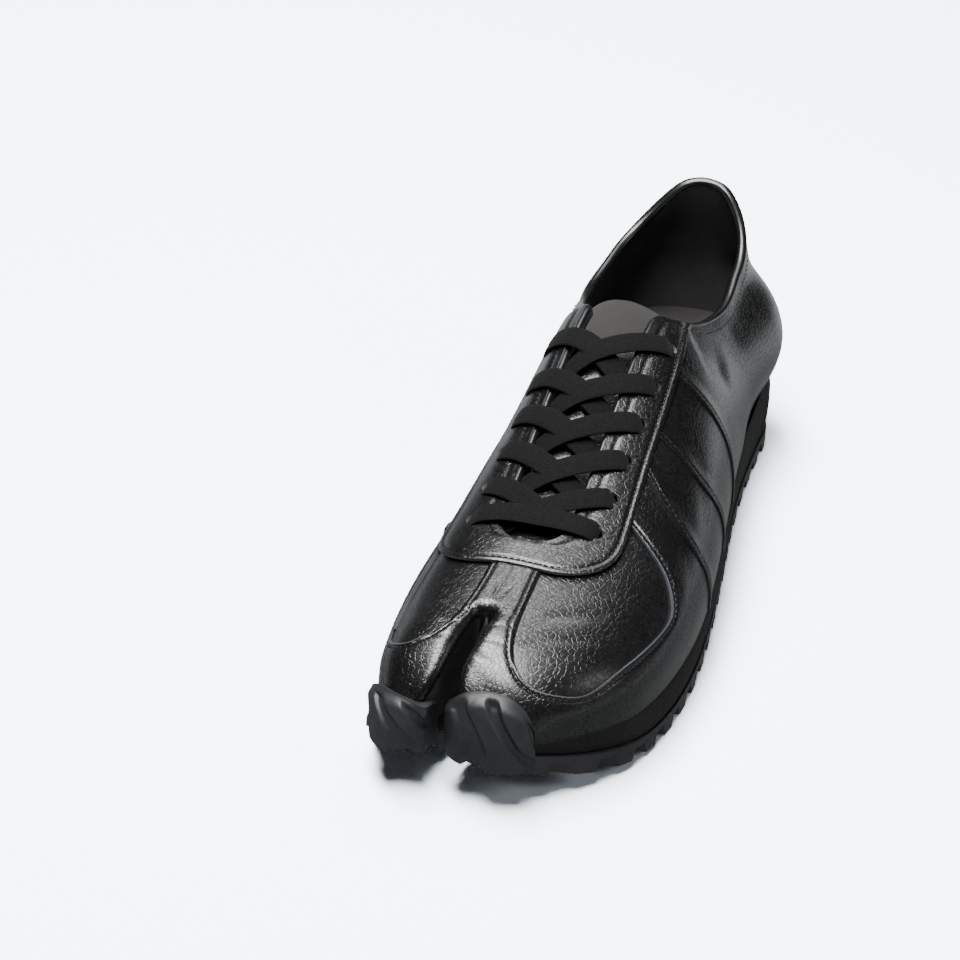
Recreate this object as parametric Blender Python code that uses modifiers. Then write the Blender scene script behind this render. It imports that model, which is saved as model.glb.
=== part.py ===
import math

import bmesh
import bpy
import numpy as np

# Split-toe leather trainer, left shoe, standing empty on its sole.
# All sizes are millimetres; meshes are scaled to metres when they are made.
# A station s runs along the foot from the heel back (0) to the toe.
# The toe points to -Y, the outer (lateral) side is +X, the floor is z = 0.
MM = 0.001
WELD = 0.000002
OBJECT_NAME = "split_toe_trainer"
MEDIAL = -1
LATERAL = 1

# Upper, walls and seats
WALL = 2.0
SEAT_GAP = 0.3
OVERLAY_GAP = 0.35
OVERLAY_THICK = 1.2
OVERLAY_START = 1.0

# Heel, instep and toe stations
HEEL_CENTRE = 38.0
HEEL_GIRTH = 54.0
HEEL_POWER = 2.2
HEEL_AXIS_SHIFT = 3.0
INSTEP_START = 84.0
SLIT_END = 246.0
SLIT_RUN = 6.0
SLIT_GAP = 6.0
SLIT_FLOOR = 3.0
SLIT_SHOULDER = 3.5
SLIT_ROLL = 1.1
SLIT_STEEP = 0.6
ROLL_STEPS = 24
WALL_STEPS = 12
TOE_TIP = {MEDIAL: 287.5, LATERAL: 287.0}
TOE_TIP_X = {MEDIAL: -27.0, LATERAL: 6.0}
TOE_ROUND_OUTER = {MEDIAL: 24.0, LATERAL: 40.0}
TOE_ROUND_INNER = {MEDIAL: 12.0, LATERAL: 14.0}
CROWN_FALL = 34.0
CROWN_POWER = 2.4
BULGE_FADE = 30.0
ROUND_POWER = 2.2

# Throat
THROAT_HALF = 12.5
THROAT_BEND = 208.0
THROAT_FRONT = 220.0

# Upper mesh
SAMPLES = 140
GIRTH_STEPS = 8
RIDGE_STEP = 1.2
PAST_TOE = 300.0

LAST_COLUMNS = ("s", "ridge_x", "medial_x", "lateral_x", "feather_z", "ridge_z",
                "medial_power", "lateral_power", "medial_bulge", "lateral_bulge")
LAST_SECTIONS = (
    (38.0, -2.0, -32.0, 34.0, 30.0, 100.0, 2.60, 1.90, 2.5, 3.5),
    (70.0, -4.0, -31.0, 35.5, 28.0, 88.0, 2.80, 1.70, 2.5, 3.5),
    (100.0, -5.0, -30.5, 38.5, 26.0, 91.0, 2.50, 1.80, 2.5, 3.5),
    (125.0, -5.0, -32.0, 42.0, 24.5, 90.0, 2.20, 1.90, 2.5, 3.5),
    (150.0, -5.0, -34.5, 45.5, 23.0, 82.0, 2.05, 1.95, 2.5, 3.5),
    (175.0, -5.0, -38.0, 48.5, 21.5, 72.0, 2.05, 2.00, 2.5, 3.5),
    (200.0, -5.0, -41.0, 50.0, 20.5, 63.0, 2.10, 2.10, 2.5, 3.5),
    (225.0, -6.0, -42.5, 48.5, 20.0, 56.0, 2.20, 2.20, 2.5, 3.0),
    (245.0, -7.5, -42.0, 44.5, 20.0, 51.5, 2.30, 2.30, 2.0, 2.5),
    (262.0, -9.5, -40.0, 38.0, 21.0, 48.5, 2.40, 2.40, 1.5, 2.0),
    (286.0, -12.0, -36.0, 25.0, 23.0, 45.0, 2.40, 2.40, 1.5, 1.5),
)

CUP_COLUMNS = ("z", "medial_half", "lateral_half", "back_s")
HEEL_CUP = (
    (30.0, 30.0, 36.0, 6.5),
    (42.0, 32.5, 39.5, 4.0),
    (54.0, 32.0, 37.5, 3.0),
    (60.0, 30.5, 33.5, 3.2),
    (67.0, 27.0, 26.5, 4.2),
    (74.0, 24.5, 23.5, 5.6),
    (85.0, 20.0, 21.5, 8.2),
    (100.0, 13.5, 17.0, 12.5),
)

# Collar height against the distance t walked round the heel from the back seam
COLLAR_COLUMNS = ("t", "z")
COLLAR_LINE = (
    (0.0, 97.0),
    (10.0, 96.5),
    (18.0, 95.0),
    (26.0, 91.0),
    (34.0, 85.5),
    (42.0, 80.0),
    (56.0, 74.0),
    (69.0, 71.5),
    (82.0, 71.8),
    (96.0, 74.6),
    (108.0, 79.2),
    (117.0, 84.0),
    (124.0, 88.5),
    (134.0, 96.0),
)

# Sole, side flare beyond the feather line and ground clearance
SOLE_COLUMNS = ("s", "medial_flare", "lateral_flare", "ground_z")
SOLE_SECTIONS = (
    (2.0, 1.0, 0.5, 3.5),
    (14.0, 1.0, 0.5, 0.0),
    (95.0, 1.0, 0.2, 0.0),
    (128.0, 0.5, 0.5, 2.2),
    (160.0, 1.0, 0.3, 0.0),
    (222.0, 2.0, 0.5, 0.0),
    (245.0, 2.0, 1.0, 2.0),
    (266.0, 2.0, 1.5, 5.6),
    (280.0, 2.0, 1.5, 10.2),
    (292.0, 2.0, 1.5, 15.5),
)
LUG_PITCH = 14.0
LUG_CREST = 6.0
LUG_SLOPE = 1.5
LUG_DEPTH = 4.5
LUG_ZIGZAG = 2.6
LUG_COLUMNS = 7
LUG_START = 3.5
PLATE_THICK = 2.5
OUTSOLE_PROUD = 0.8
MIDSOLE_PROUD = 1.0
MIDSOLE_BULGE = 0.8
MIDSOLE_SLIM = 240.0
MIDSOLE_SLIM_RUN = 25.0
SOLE_NOTCH_END = 253.0

# Rubber toe curls
CURL_THICK = 4.0
CURL_THIN = 1.6
CURL_LIFT = OVERLAY_GAP + OVERLAY_THICK + 0.75
CURL_FOOT_Z = 16.0
CURL_END_Z = 26.0
CURL_MIDDLE = 268.0
CURL_HOLD = 1.5
CURL_POWER = 2.4
CURL_SPAN = {MEDIAL: (-54.0, 50.0), LATERAL: (-56.0, 46.0)}
CURL_SLOT_HALF = 2.5
CURL_TOP_Z = {MEDIAL: 32.5, LATERAL: 37.0}
CURL_STEPS_ACROSS = 9
CURL_STEPS_UP = 4

# Insole and tongue
INSOLE_INSET = 3.0
INSOLE_THICK = 4.0
INSOLE_SPLIT = 238.0
INSOLE_FRONT = 274.0
TONGUE_BACK = 97.0
TONGUE_FRONT = 226.0
TONGUE_HALF_TOP = 23.0
TONGUE_HALF_FRONT = 17.0
TONGUE_SINK = 2.9
TONGUE_THICK = 3.0

# Outlines of the overlays: the eyestay in plan, the seams in side view
EYESTAY_COLUMNS = ("s", "half")
EYESTAY_EDGE = (
    (60.0, 21.0),
    (92.0, 22.0),
    (122.0, 25.6),
    (150.0, 27.5),
    (182.0, 28.8),
    (208.0, 30.5),
)
EYESTAY_FRONT = 231.0
EYESTAY_CORNER = 20.0
WINDOW_COLUMNS = ("x", "s")
WINDOW_MEDIAL = (
    (-14.0, 225.0), (-14.6, 238.0), (-16.2, 250.0), (-19.0, 260.0), (-23.5, 266.0),
    (-29.0, 268.8), (-34.0, 267.0), (-38.0, 261.0), (-39.6, 252.0), (-38.6, 240.0),
    (-37.0, 225.0), (-36.0, 212.0), (-35.0, 200.0), (-25.0, 200.0),
)
WINDOW_LATERAL = (
    (3.6, 225.0), (3.2, 246.0), (4.0, 262.0), (7.5, 271.0), (14.5, 275.0),
    (24.0, 271.5), (32.5, 262.5), (40.5, 243.0), (44.8, 224.0), (44.2, 215.0),
    (40.0, 208.5), (33.0, 203.5), (24.0, 198.0),
)
SEAM_COLUMNS = ("z", "first", "second", "third")
SIDE_SEAMS = (
    (10.0, 112.0, 143.0, 180.0),
    (26.0, 117.0, 147.5, 183.0),
    (38.0, 120.5, 152.0, 186.0),
    (50.0, 123.5, 157.5, 187.0),
    (60.0, 126.0, 160.0, 181.0),
    (68.0, 128.0, 159.5, 172.0),
    (80.0, 131.0, 155.0, 160.0),
    (100.0, 136.0, 148.0, 150.0),
)
HEEL_TAB_COLUMNS = ("s", "z")
HEEL_TAB_EDGE = ((-6.0, 79.0), (8.0, 79.5), (20.0, 81.5), (30.0, 86.0), (36.0, 96.0))

# Laces
LACE_ROWS = (209.0, 192.5, 175.5, 159.0, 142.0, 121.0)
LACE_REACH = 20.5
LACE_WIDTH = 8.0
LACE_THICK = 1.5
LACE_LIFT = OVERLAY_GAP + OVERLAY_THICK + 0.8
LACE_OVER = 0.7
LACE_STAGGER = 0.5
LACE_STEPS = 6

COLOURS = {
    "black_leather": ((0.012, 0.012, 0.013, 1.0), 0.42),
    "black_foam": ((0.016, 0.016, 0.017, 1.0), 0.85),
    "black_rubber": ((0.030, 0.031, 0.034, 1.0), 0.55),
    "taupe_lining": ((0.085, 0.075, 0.068, 1.0), 0.80),
    "black_cotton": ((0.010, 0.010, 0.010, 1.0), 0.90),
}


def natural_spline(xs, ys):
    # Cubic through the table rows with straight ends
    xs = np.asarray(xs, float)
    ys = np.asarray(ys, float)
    count = len(xs)
    step = np.diff(xs)
    matrix = np.eye(count)
    right = np.zeros(count)
    for i in range(1, count - 1):
        matrix[i, i - 1:i + 2] = (step[i - 1], 2 * (step[i - 1] + step[i]), step[i])
        right[i] = 6 * ((ys[i + 1] - ys[i]) / step[i] - (ys[i] - ys[i - 1]) / step[i - 1])
    bend = np.linalg.solve(matrix, right)

    def value(x):
        x = np.clip(np.asarray(x, float), xs[0], xs[-1])
        i = np.clip(np.searchsorted(xs, x) - 1, 0, count - 2)
        a = (xs[i + 1] - x) / step[i]
        b = (x - xs[i]) / step[i]
        curve = (a ** 3 - a) * bend[i] + (b ** 3 - b) * bend[i + 1]
        return a * ys[i] + b * ys[i + 1] + curve * step[i] ** 2 / 6
    return value


def table(columns, rows):
    # One spline for every column, against the first column
    grid = np.array(rows)
    return {name: natural_spline(grid[:, 0], grid[:, i])
            for i, name in enumerate(columns) if i > 0}


last = table(LAST_COLUMNS, LAST_SECTIONS)
cup = table(CUP_COLUMNS, HEEL_CUP)
collar = table(COLLAR_COLUMNS, COLLAR_LINE)
sole = table(SOLE_COLUMNS, SOLE_SECTIONS)
eyestay_edge = table(EYESTAY_COLUMNS, EYESTAY_EDGE)
seams = table(SEAM_COLUMNS, SIDE_SEAMS)


def side_name(side, column):
    return ("medial_" if side == MEDIAL else "lateral_") + column


def ease(x):
    x = min(max(x, 0.0), 1.0)
    return x * x * (3 - 2 * x)


def round_off(s, tip, run, power):
    # Falls from 1 to 0 over the last run before the tip, like a superellipse
    r = min(max((s - (tip - run)) / run, 0.0), 1.0)
    return (1 - r ** power) ** (1 / power)


def slot_half(s, end):
    # Half width of the slit, with a round end
    radius = SLIT_GAP / 2
    into = min(max(s - end, 0.0), radius)
    return math.sqrt(radius ** 2 - (radius - into) ** 2)


def half_widths(s, side):
    # Distance of the outer edge and of the slit wall from the ridge line
    ridge = float(last["ridge_x"](s))
    outer = float(last[side_name(side, "x")](s))
    tip_x = TOE_TIP_X[side]
    outer = tip_x + (outer - tip_x) * round_off(s, TOE_TIP[side], TOE_ROUND_OUTER[side], ROUND_POWER)
    if s <= SLIT_END:
        return side * (outer - ridge), 0.0
    inner = ridge + side * slot_half(s, SLIT_END)
    inner = tip_x + (inner - tip_x) * round_off(s, TOE_TIP[side], TOE_ROUND_INNER[side], ROUND_POWER)
    return side * (outer - ridge), side * (inner - ridge)


def half_section(s, side):
    # Outline of one half, from the feather line up to the ridge or down into the slit
    foot = float(last["feather_z"](s))
    crown = round_off(s, TOE_TIP[side], CROWN_FALL, CROWN_POWER)
    height = (float(last["ridge_z"](s)) - foot) * crown
    outer, inner = half_widths(s, side)
    power = float(last[side_name(side, "power")](s))
    bulge = float(last[side_name(side, "bulge")](s))
    bulge *= round_off(s, TOE_TIP[side], BULGE_FADE, ROUND_POWER)
    turn = np.linspace(0, math.pi / 2, SAMPLES)
    d = outer * np.cos(turn) ** (2 / power) + bulge * np.sin(2 * turn) ** 1.2 * np.cos(turn)
    z = foot + height * np.sin(turn) ** (2 / power)
    if s < INSTEP_START:
        blend = ease((s - HEEL_CENTRE) / (INSTEP_START - HEEL_CENTRE))
        d = d * blend + cup[side_name(side, "half")](z) * (1 - blend)
    if s > SLIT_END - SLIT_SHOULDER:
        d, z = fold_into_slit(s, d, z, outer, inner, foot, height)
    return d, z


def fold_into_slit(s, d, z, outer, inner, foot, height):
    # The leather rolls over a shoulder all round the slit and runs down the slit wall
    radius = SLIT_GAP / 2
    shoulder = min(SLIT_SHOULDER, max(0.45 * (outer - inner), 0.001))
    behind = max(SLIT_END + radius - s, 0.0)
    start = math.sqrt((radius + shoulder) ** 2 - behind ** 2) if behind else inner + shoulder
    top = d > start
    roll_d = inner + (start - inner) * (1 - np.sin(np.linspace(0, math.pi / 2, ROLL_STEPS)))
    away = np.hypot(roll_d, behind) - radius if behind else roll_d - inner
    near = 1 - np.clip(away / shoulder, 0.0, 1.0)
    held = min(SLIT_FLOOR, height) * (1 - ease((s - SLIT_END - SLIT_RUN) / SLIT_FLOOR))
    drop = min(height - held, shoulder * SLIT_ROLL)
    roll_z = np.interp(roll_d, d[::-1], z[::-1]) - drop * (1 - np.sqrt(1 - near ** 2))
    d = np.concatenate([d[top], roll_d])
    z = np.concatenate([z[top], roll_z])
    if s <= SLIT_END:
        return d, z
    depth = drop + (height - held - drop) * min((s - SLIT_END) / SLIT_RUN, 1.0) ** SLIT_STEEP
    floor_z = min(foot + height - depth, roll_z[-1])
    wall_z = np.linspace(roll_z[-1], floor_z, WALL_STEPS)
    return np.concatenate([d, np.full(WALL_STEPS, inner)]), np.concatenate([z, wall_z])


def skin_curve(t, side):
    # Points (x, s, z) of the outer skin at walk distance t, from the feather line up
    if t < HEEL_GIRTH:
        d, z = half_section(HEEL_CENTRE, side)
        turn = math.pi / 2 * (1 - t / HEEL_GIRTH)
        out = math.cos(turn) ** (2 / HEEL_POWER)
        back = math.sin(turn) ** (2 / HEEL_POWER)
        x = float(last["ridge_x"](HEEL_CENTRE)) + HEEL_AXIS_SHIFT * back + side * d * out
        s = HEEL_CENTRE - (HEEL_CENTRE - cup["back_s"](z)) * back
        return np.stack([x, s, z], -1)
    s = HEEL_CENTRE + t - HEEL_GIRTH
    d, z = half_section(s, side)
    return np.stack([float(last["ridge_x"](s)) + side * d, np.full(len(d), s), z], -1)


def walk(s):
    return s - HEEL_CENTRE + HEEL_GIRTH


def girth(points):
    return np.concatenate([[0.0], np.cumsum(np.linalg.norm(np.diff(points, axis=0), axis=1))])


def open_length(t, side, points, run):
    # Girth at which the skin stops: collar, throat edge or the end of the curve
    end = run[-1]
    over = np.nonzero(points[:, 2] > float(collar["z"](t)))[0]
    s = HEEL_CENTRE + t - HEEL_GIRTH
    if t < walk(INSTEP_START + 50.0) and len(over):
        i = over[0]
        a, b = points[i - 1, 2], points[i, 2]
        end = min(end, run[i - 1] + (run[i] - run[i - 1]) * (float(collar["z"](t)) - a) / (b - a))
    if t >= HEEL_GIRTH and s < THROAT_FRONT:
        bend = min(max((s - THROAT_BEND) / (THROAT_FRONT - THROAT_BEND), 0.0), 1.0)
        half = THROAT_HALF * math.sqrt(1 - bend * bend)
        d = side * (points[:, 0] - float(last["ridge_x"](s)))
        inside = np.nonzero(d < half)[0]
        if len(inside):
            i = inside[0]
            part = (d[i - 1] - half) / (d[i - 1] - d[i])
            end = min(end, run[i - 1] + (run[i] - run[i - 1]) * part)
    return end


def skin_stations():
    # Walk distances of the mesh rows, closer at the throat end, the slit and the toe
    rows = list(np.linspace(0, HEEL_GIRTH, 8))
    for first, final, count in ((HEEL_CENTRE, 108, 7), (108, THROAT_BEND, 7),
                                (THROAT_BEND, THROAT_FRONT, 3), (THROAT_FRONT, SLIT_END - SLIT_SHOULDER, 3),
                                (SLIT_END - SLIT_SHOULDER, SLIT_END, 2),
                                (SLIT_END, SLIT_END + SLIT_RUN, 4)):
        rows += [walk(s) for s in np.linspace(first, final, count + 1)[1:]]
    return rows


def toe_stations(side):
    start = SLIT_END + SLIT_RUN
    turn = np.linspace(0, math.pi / 2, 8)[1:]
    return [walk(TOE_TIP[side] - (TOE_TIP[side] - start) * (1 - math.sin(q))) for q in turn]


def mesh_girths(t, start, end, run):
    # Girths of the mesh columns: even, then drawn to the ridge, then on the slit's shoulder and wall
    s = HEEL_CENTRE + t - HEEL_GIRTH
    shoulder_start = SLIT_END - SLIT_SHOULDER
    if s <= shoulder_start:
        even = np.linspace(start, end, GIRTH_STEPS + 1)
        closing = np.array([RIDGE_STEP * 3, RIDGE_STEP * 2, RIDGE_STEP, 0.0])
        drawn = np.concatenate([np.linspace(start, end - closing[0], GIRTH_STEPS - 2), end - closing[1:]])
        share = min(max((s - THROAT_FRONT) / (shoulder_start - THROAT_FRONT), 0.0), 1.0)
        return even + (drawn - even) * share
    wall = WALL_STEPS if s > SLIT_END else 0
    edge = run[-ROLL_STEPS - wall]
    bends = [run[-ROLL_STEPS // 2 - wall], run[-1 - wall], run[-1]]
    return np.concatenate([np.linspace(start, edge, GIRTH_STEPS - 2), bends])


def skin_half(side, start):
    # Grid of skin points of one half: rows by walk distance, columns by girth
    rows = []
    for t in skin_stations() + toe_stations(side):
        points = skin_curve(t, side)
        run = girth(points)
        end = open_length(t, side, points, run)
        at = mesh_girths(t, min(start, end * 0.5), end, run)
        rows.append(np.stack([np.interp(at, run, points[:, k]) for k in range(3)], -1))
    return np.array(rows)


def to_metres(point):
    return (point[0] * MM, -point[1] * MM, point[2] * MM)


def add_sheet(mesh, grid, flip):
    # A plane grid made by the grid operator and moved onto the points
    rows, cols = grid.shape[0], grid.shape[1]
    made = bmesh.ops.create_grid(mesh, x_segments=rows - 1, y_segments=cols - 1, size=0.5)
    verts = sorted(made["verts"], key=lambda v: (round(v.co.x, 5), round(v.co.y, 5)))
    for k, vert in enumerate(verts):
        vert.co = to_metres(grid[k // cols, k % cols])
    faces = list({face for vert in verts for face in vert.link_faces})
    if flip:
        bmesh.ops.reverse_faces(mesh, faces=faces)
    return verts


def new_object(name, mesh, collection, slot=None):
    data = bpy.data.meshes.new(name)
    mesh.to_mesh(data)
    mesh.free()
    item = bpy.data.objects.new(name, data)
    collection.objects.link(item)
    if slot:
        data.materials.append(materials[slot])
    return item


def bake(item):
    # Replace the mesh by its modified shape
    depsgraph = bpy.context.evaluated_depsgraph_get()
    shape = bpy.data.meshes.new_from_object(item.evaluated_get(depsgraph))
    old = item.data
    item.modifiers.clear()
    item.data = shape
    bpy.data.meshes.remove(old)


def tidy(item):
    # Weld, drop collapsed faces and point every face outward
    mesh = bmesh.new()
    mesh.from_mesh(item.data)
    bmesh.ops.remove_doubles(mesh, verts=mesh.verts, dist=WELD)
    bmesh.ops.dissolve_degenerate(mesh, edges=mesh.edges, dist=WELD)
    bmesh.ops.triangulate(mesh, faces=mesh.faces)
    bmesh.ops.recalc_face_normals(mesh, faces=mesh.faces)
    mesh.to_mesh(item.data)
    mesh.free()


def skin_sheet(start):
    # Both halves welded along the back seam and the ridge, with the web at the slit end
    mesh = bmesh.new()
    halves = {side: skin_half(side, start) for side in (MEDIAL, LATERAL)}
    for side in (MEDIAL, LATERAL):
        add_sheet(mesh, halves[side], side == LATERAL)
    stations = skin_stations()
    first = stations.index(walk(SLIT_END))
    web = np.stack([halves[MEDIAL][first:len(stations), -1], halves[LATERAL][first:len(stations), -1]], 1)
    add_sheet(mesh, web, False)
    bmesh.ops.remove_doubles(mesh, verts=mesh.verts, dist=0.00005)
    bmesh.ops.dissolve_degenerate(mesh, edges=mesh.edges, dist=0.00005)
    bmesh.ops.recalc_face_normals(mesh, faces=mesh.faces)
    out = sum(face.normal.x for face in mesh.faces if face.calc_center_median().x > 0.03)
    if out < 0:
        bmesh.ops.reverse_faces(mesh, faces=mesh.faces)
    return mesh


def move_along_normals(mesh, distance):
    mesh.normal_update()
    shifts = [(vert, vert.normal * distance) for vert in mesh.verts]
    for vert, shift in shifts:
        vert.co += shift


def shell(name, collection, start, lift, thick, slot=None):
    # Closed shell of even thickness lying outside the lifted skin, or inside when thick is negative
    mesh = skin_sheet(start)
    if lift:
        move_along_normals(mesh, lift * MM)
    item = new_object(name, mesh, collection, slot)
    solid = item.modifiers.new("thickness", "SOLIDIFY")
    solid.thickness = abs(thick) * MM
    solid.offset = 1.0 if thick > 0 else -1.0
    solid.use_even_offset = False
    solid.use_rim = True
    bake(item)
    tidy(item)
    return item


def as_cutter(item):
    item.hide_render = True
    item.display_type = "WIRE"
    return item


def prism(name, outline, low, high, axis):
    # Cutter: a plane outline pushed straight through, along z or along x
    mesh = bmesh.new()
    verts = []
    for a, b in outline:
        place = (a, b, low) if axis == "z" else (low, a, b)
        verts.append(mesh.verts.new(to_metres(place)))
    face = mesh.faces.new(verts)
    pushed = bmesh.ops.extrude_face_region(mesh, geom=[face])
    moved = [part for part in pushed["geom"] if isinstance(part, bmesh.types.BMVert)]
    push = (0, 0, (high - low) * MM) if axis == "z" else ((high - low) * MM, 0, 0)
    bmesh.ops.translate(mesh, verts=moved, vec=push)
    bmesh.ops.recalc_face_normals(mesh, faces=mesh.faces)
    return as_cutter(new_object(name, mesh, cutters))


def cut(item, operation, tool):
    step = item.modifiers.new(operation.lower(), "BOOLEAN")
    step.operation = operation
    step.solver = "EXACT"
    step.object = tool
    bake(item)


def copy_of(source, name, slot):
    item = bpy.data.objects.new(name, source.data.copy())
    parts.objects.link(item)
    item.data.materials.clear()
    item.data.materials.append(materials[slot])
    return item


def eyestay_outline(grow):
    # U in plan about the ridge line, with rounded front corners
    right = []
    left = []
    for s in np.linspace(60.0, EYESTAY_FRONT + grow, 44):
        half = float(eyestay_edge["half"](s)) + grow
        corner = round_off(s, EYESTAY_FRONT + grow, EYESTAY_CORNER, 2.0)
        reach = half - EYESTAY_CORNER * (1 - corner)
        ridge = float(last["ridge_x"](s))
        right.append((ridge + reach, s))
        left.append((ridge - reach, s))
    return right + left[::-1]


def window_outline(points):
    # Smooth closed outline through the few points of a vamp window
    loop = np.array(points)
    along = np.arange(len(loop))
    fine = np.linspace(0, len(loop) - 1, 40)
    return [(float(natural_spline(along, loop[:, 0])(k)), float(natural_spline(along, loop[:, 1])(k)))
            for k in fine]


def seam_outline(front, rear, inset):
    # Strip between two side seams, in side view
    heights = np.linspace(10.0, 100.0, 16)
    ahead = [(front(z) - inset, z) for z in heights]
    behind = [(rear(z) + inset, z) for z in heights]
    return ahead + behind[::-1]


def plan_edge(s, side, out):
    # Outer edge of the sole in plan, a given distance outside the feather line
    if s < HEEL_CENTRE:
        half = float(cup[side_name(side, "half")](30.0)) + out
        depth = HEEL_CENTRE - float(cup["back_s"](30.0)) + out
        back = min((HEEL_CENTRE - s) / depth, 1.0)
        across = (1 - back ** HEEL_POWER) ** (1 / HEEL_POWER)
        return float(last["ridge_x"](HEEL_CENTRE)) + HEEL_AXIS_SHIFT * back + side * half * across
    tip_x = TOE_TIP_X[side]
    edge = float(last[side_name(side, "x")](s)) + side * out
    fall = round_off(s, TOE_TIP[side] + out, TOE_ROUND_OUTER[side] + out, ROUND_POWER)
    return tip_x + (edge - tip_x) * fall


def sole_flare(s, side):
    return float(sole[side_name(side, "flare")](s))


def ground(s):
    return max(float(sole["ground_z"](s)), 0.0)


def outsole_top(s):
    return ground(s) + LUG_DEPTH + PLATE_THICK


def loft(name, rings, slot):
    # Rows of equal rings joined into a closed body with flat ends
    mesh = bmesh.new()
    grid = np.array([list(ring) + [ring[0]] for ring in rings])
    add_sheet(mesh, grid, False)
    bmesh.ops.remove_doubles(mesh, verts=mesh.verts, dist=0.00002)
    ends = [edge for edge in mesh.edges if edge.is_boundary]
    bmesh.ops.holes_fill(mesh, edges=ends, sides=0)
    bmesh.ops.triangulate(mesh, faces=mesh.faces)
    bmesh.ops.recalc_face_normals(mesh, faces=mesh.faces)
    return new_object(name, mesh, parts, slot)


def sole_ends(out):
    back = float(cup["back_s"](30.0)) - out
    front = min(TOE_TIP.values()) + out
    return back + 0.4, front - 0.05


def notch_outline():
    # Gap between the two toes of the sole, opening round the toe corners
    right = []
    left = []
    for s in np.linspace(SOLE_NOTCH_END, min(TOE_TIP.values()), 14):
        for side, rim in ((LATERAL, right), (MEDIAL, left)):
            ridge = float(last["ridge_x"](s))
            inner = ridge + side * slot_half(s, SOLE_NOTCH_END)
            fall = round_off(s, TOE_TIP[side] + SEAT_GAP, TOE_ROUND_INNER[side], ROUND_POWER)
            inner = TOE_TIP_X[side] + (inner - TOE_TIP_X[side]) * fall
            rim.append((inner, s))
    tip = [(right[-1][0], PAST_TOE), (left[-1][0], PAST_TOE)]
    return right + tip + left[:0:-1]


def slot_outline():
    # Straight gap between the two toe curls, along the slit
    stations = np.linspace(SOLE_NOTCH_END, PAST_TOE, 8)
    right = [(float(last["ridge_x"](s)) + CURL_SLOT_HALF, s) for s in stations]
    left = [(float(last["ridge_x"](s)) - CURL_SLOT_HALF, s) for s in stations]
    return right + left[::-1]


def make_midsole():
    rings = []
    back, front = sole_ends(0.0)
    stations = np.concatenate([back + (HEEL_CENTRE - back) * (1 - np.cos(np.linspace(0, 1.57, 8))),
                               np.linspace(HEEL_CENTRE, 250.0, 22)[1:],
                               250.0 + (front - 250.0) * np.sin(np.linspace(0, 1.5707, 8))[1:]])
    for s in stations:
        top = float(last["feather_z"](s)) - SEAT_GAP
        low = outsole_top(s) + SEAT_GAP
        ring = []
        for side in (MEDIAL, LATERAL):
            flare = sole_flare(s, side)
            column = []
            slim = 1 - ease((s - MIDSOLE_SLIM) / MIDSOLE_SLIM_RUN)
            for part, out in ((1.0, MIDSOLE_PROUD), (0.55, MIDSOLE_PROUD + MIDSOLE_BULGE), (0.0, flare)):
                column.append((plan_edge(s, side, out * slim), s, low + (top - low) * part))
            ring += column[::-1] if side == MEDIAL else column
        rings.append(ring)
    return loft("midsole", rings, "black_foam")


def make_outsole():
    back, front = sole_ends(OUTSOLE_PROUD + 1.6)
    stations = []
    s = LUG_START
    valley = LUG_PITCH - LUG_CREST - 2 * LUG_SLOPE
    while s < front:
        for shift, low in ((0.0, 0.0), (LUG_CREST, 0.0), (LUG_CREST + LUG_SLOPE, LUG_DEPTH),
                           (LUG_CREST + LUG_SLOPE + valley, LUG_DEPTH)):
            stations.append((s + shift, low))
        s += LUG_PITCH
    stations = [(back, LUG_DEPTH)] + [row for row in stations if back + 1.0 < row[0] < front - 1.0]
    stations.append((front, stations[-1][1]))
    rings = []
    for row, (s, low) in enumerate(stations):
        at_end = row in (0, len(stations) - 1)
        ring = []
        for j in range(LUG_COLUMNS):
            zig = 0.0 if at_end else (LUG_ZIGZAG if j % 2 else -LUG_ZIGZAG)
            here = min(max(s + zig, back), front)
            left = plan_edge(here, MEDIAL, sole_flare(here, MEDIAL) + OUTSOLE_PROUD)
            right = plan_edge(here, LATERAL, sole_flare(here, LATERAL) + OUTSOLE_PROUD)
            ring.append((left + (right - left) * j / (LUG_COLUMNS - 1), here, ground(here) + low))
        edge = ring[0][1]
        ring.append((ring[-1][0], edge, outsole_top(edge)))
        ring.append((ring[0][0], edge, outsole_top(edge)))
        rings.append(ring)
    return loft("outsole", rings, "black_rubber")


def inside_toe(x, s, z, side):
    # Whether a place lies within the lobe of one toe
    if s >= TOE_TIP[side]:
        return False
    d, height = half_section(s, side)
    across = side * (x - float(last["ridge_x"](s)))
    widest = int(np.argmax(d))
    if not half_widths(s, side)[1] <= across <= d[widest]:
        return False
    return np.interp(across, d[widest:][::-1], height[widest:][::-1]) > z


def toe_face(angle, z, side):
    # Face of the lobe seen from its middle, at an angle from straight ahead and a height
    held = max(z, float(last["feather_z"](TOE_TIP[side])) + CURL_HOLD)
    low, high = 0.0, 40.0
    for _ in range(24):
        reach = (low + high) / 2
        place = (TOE_TIP_X[side] + reach * math.sin(angle), CURL_MIDDLE + reach * math.cos(angle))
        if inside_toe(place[0], place[1], held, side):
            low = reach
        else:
            high = reach
    return np.array([TOE_TIP_X[side] + low * math.sin(angle), CURL_MIDDLE + low * math.cos(angle), z])


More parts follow.
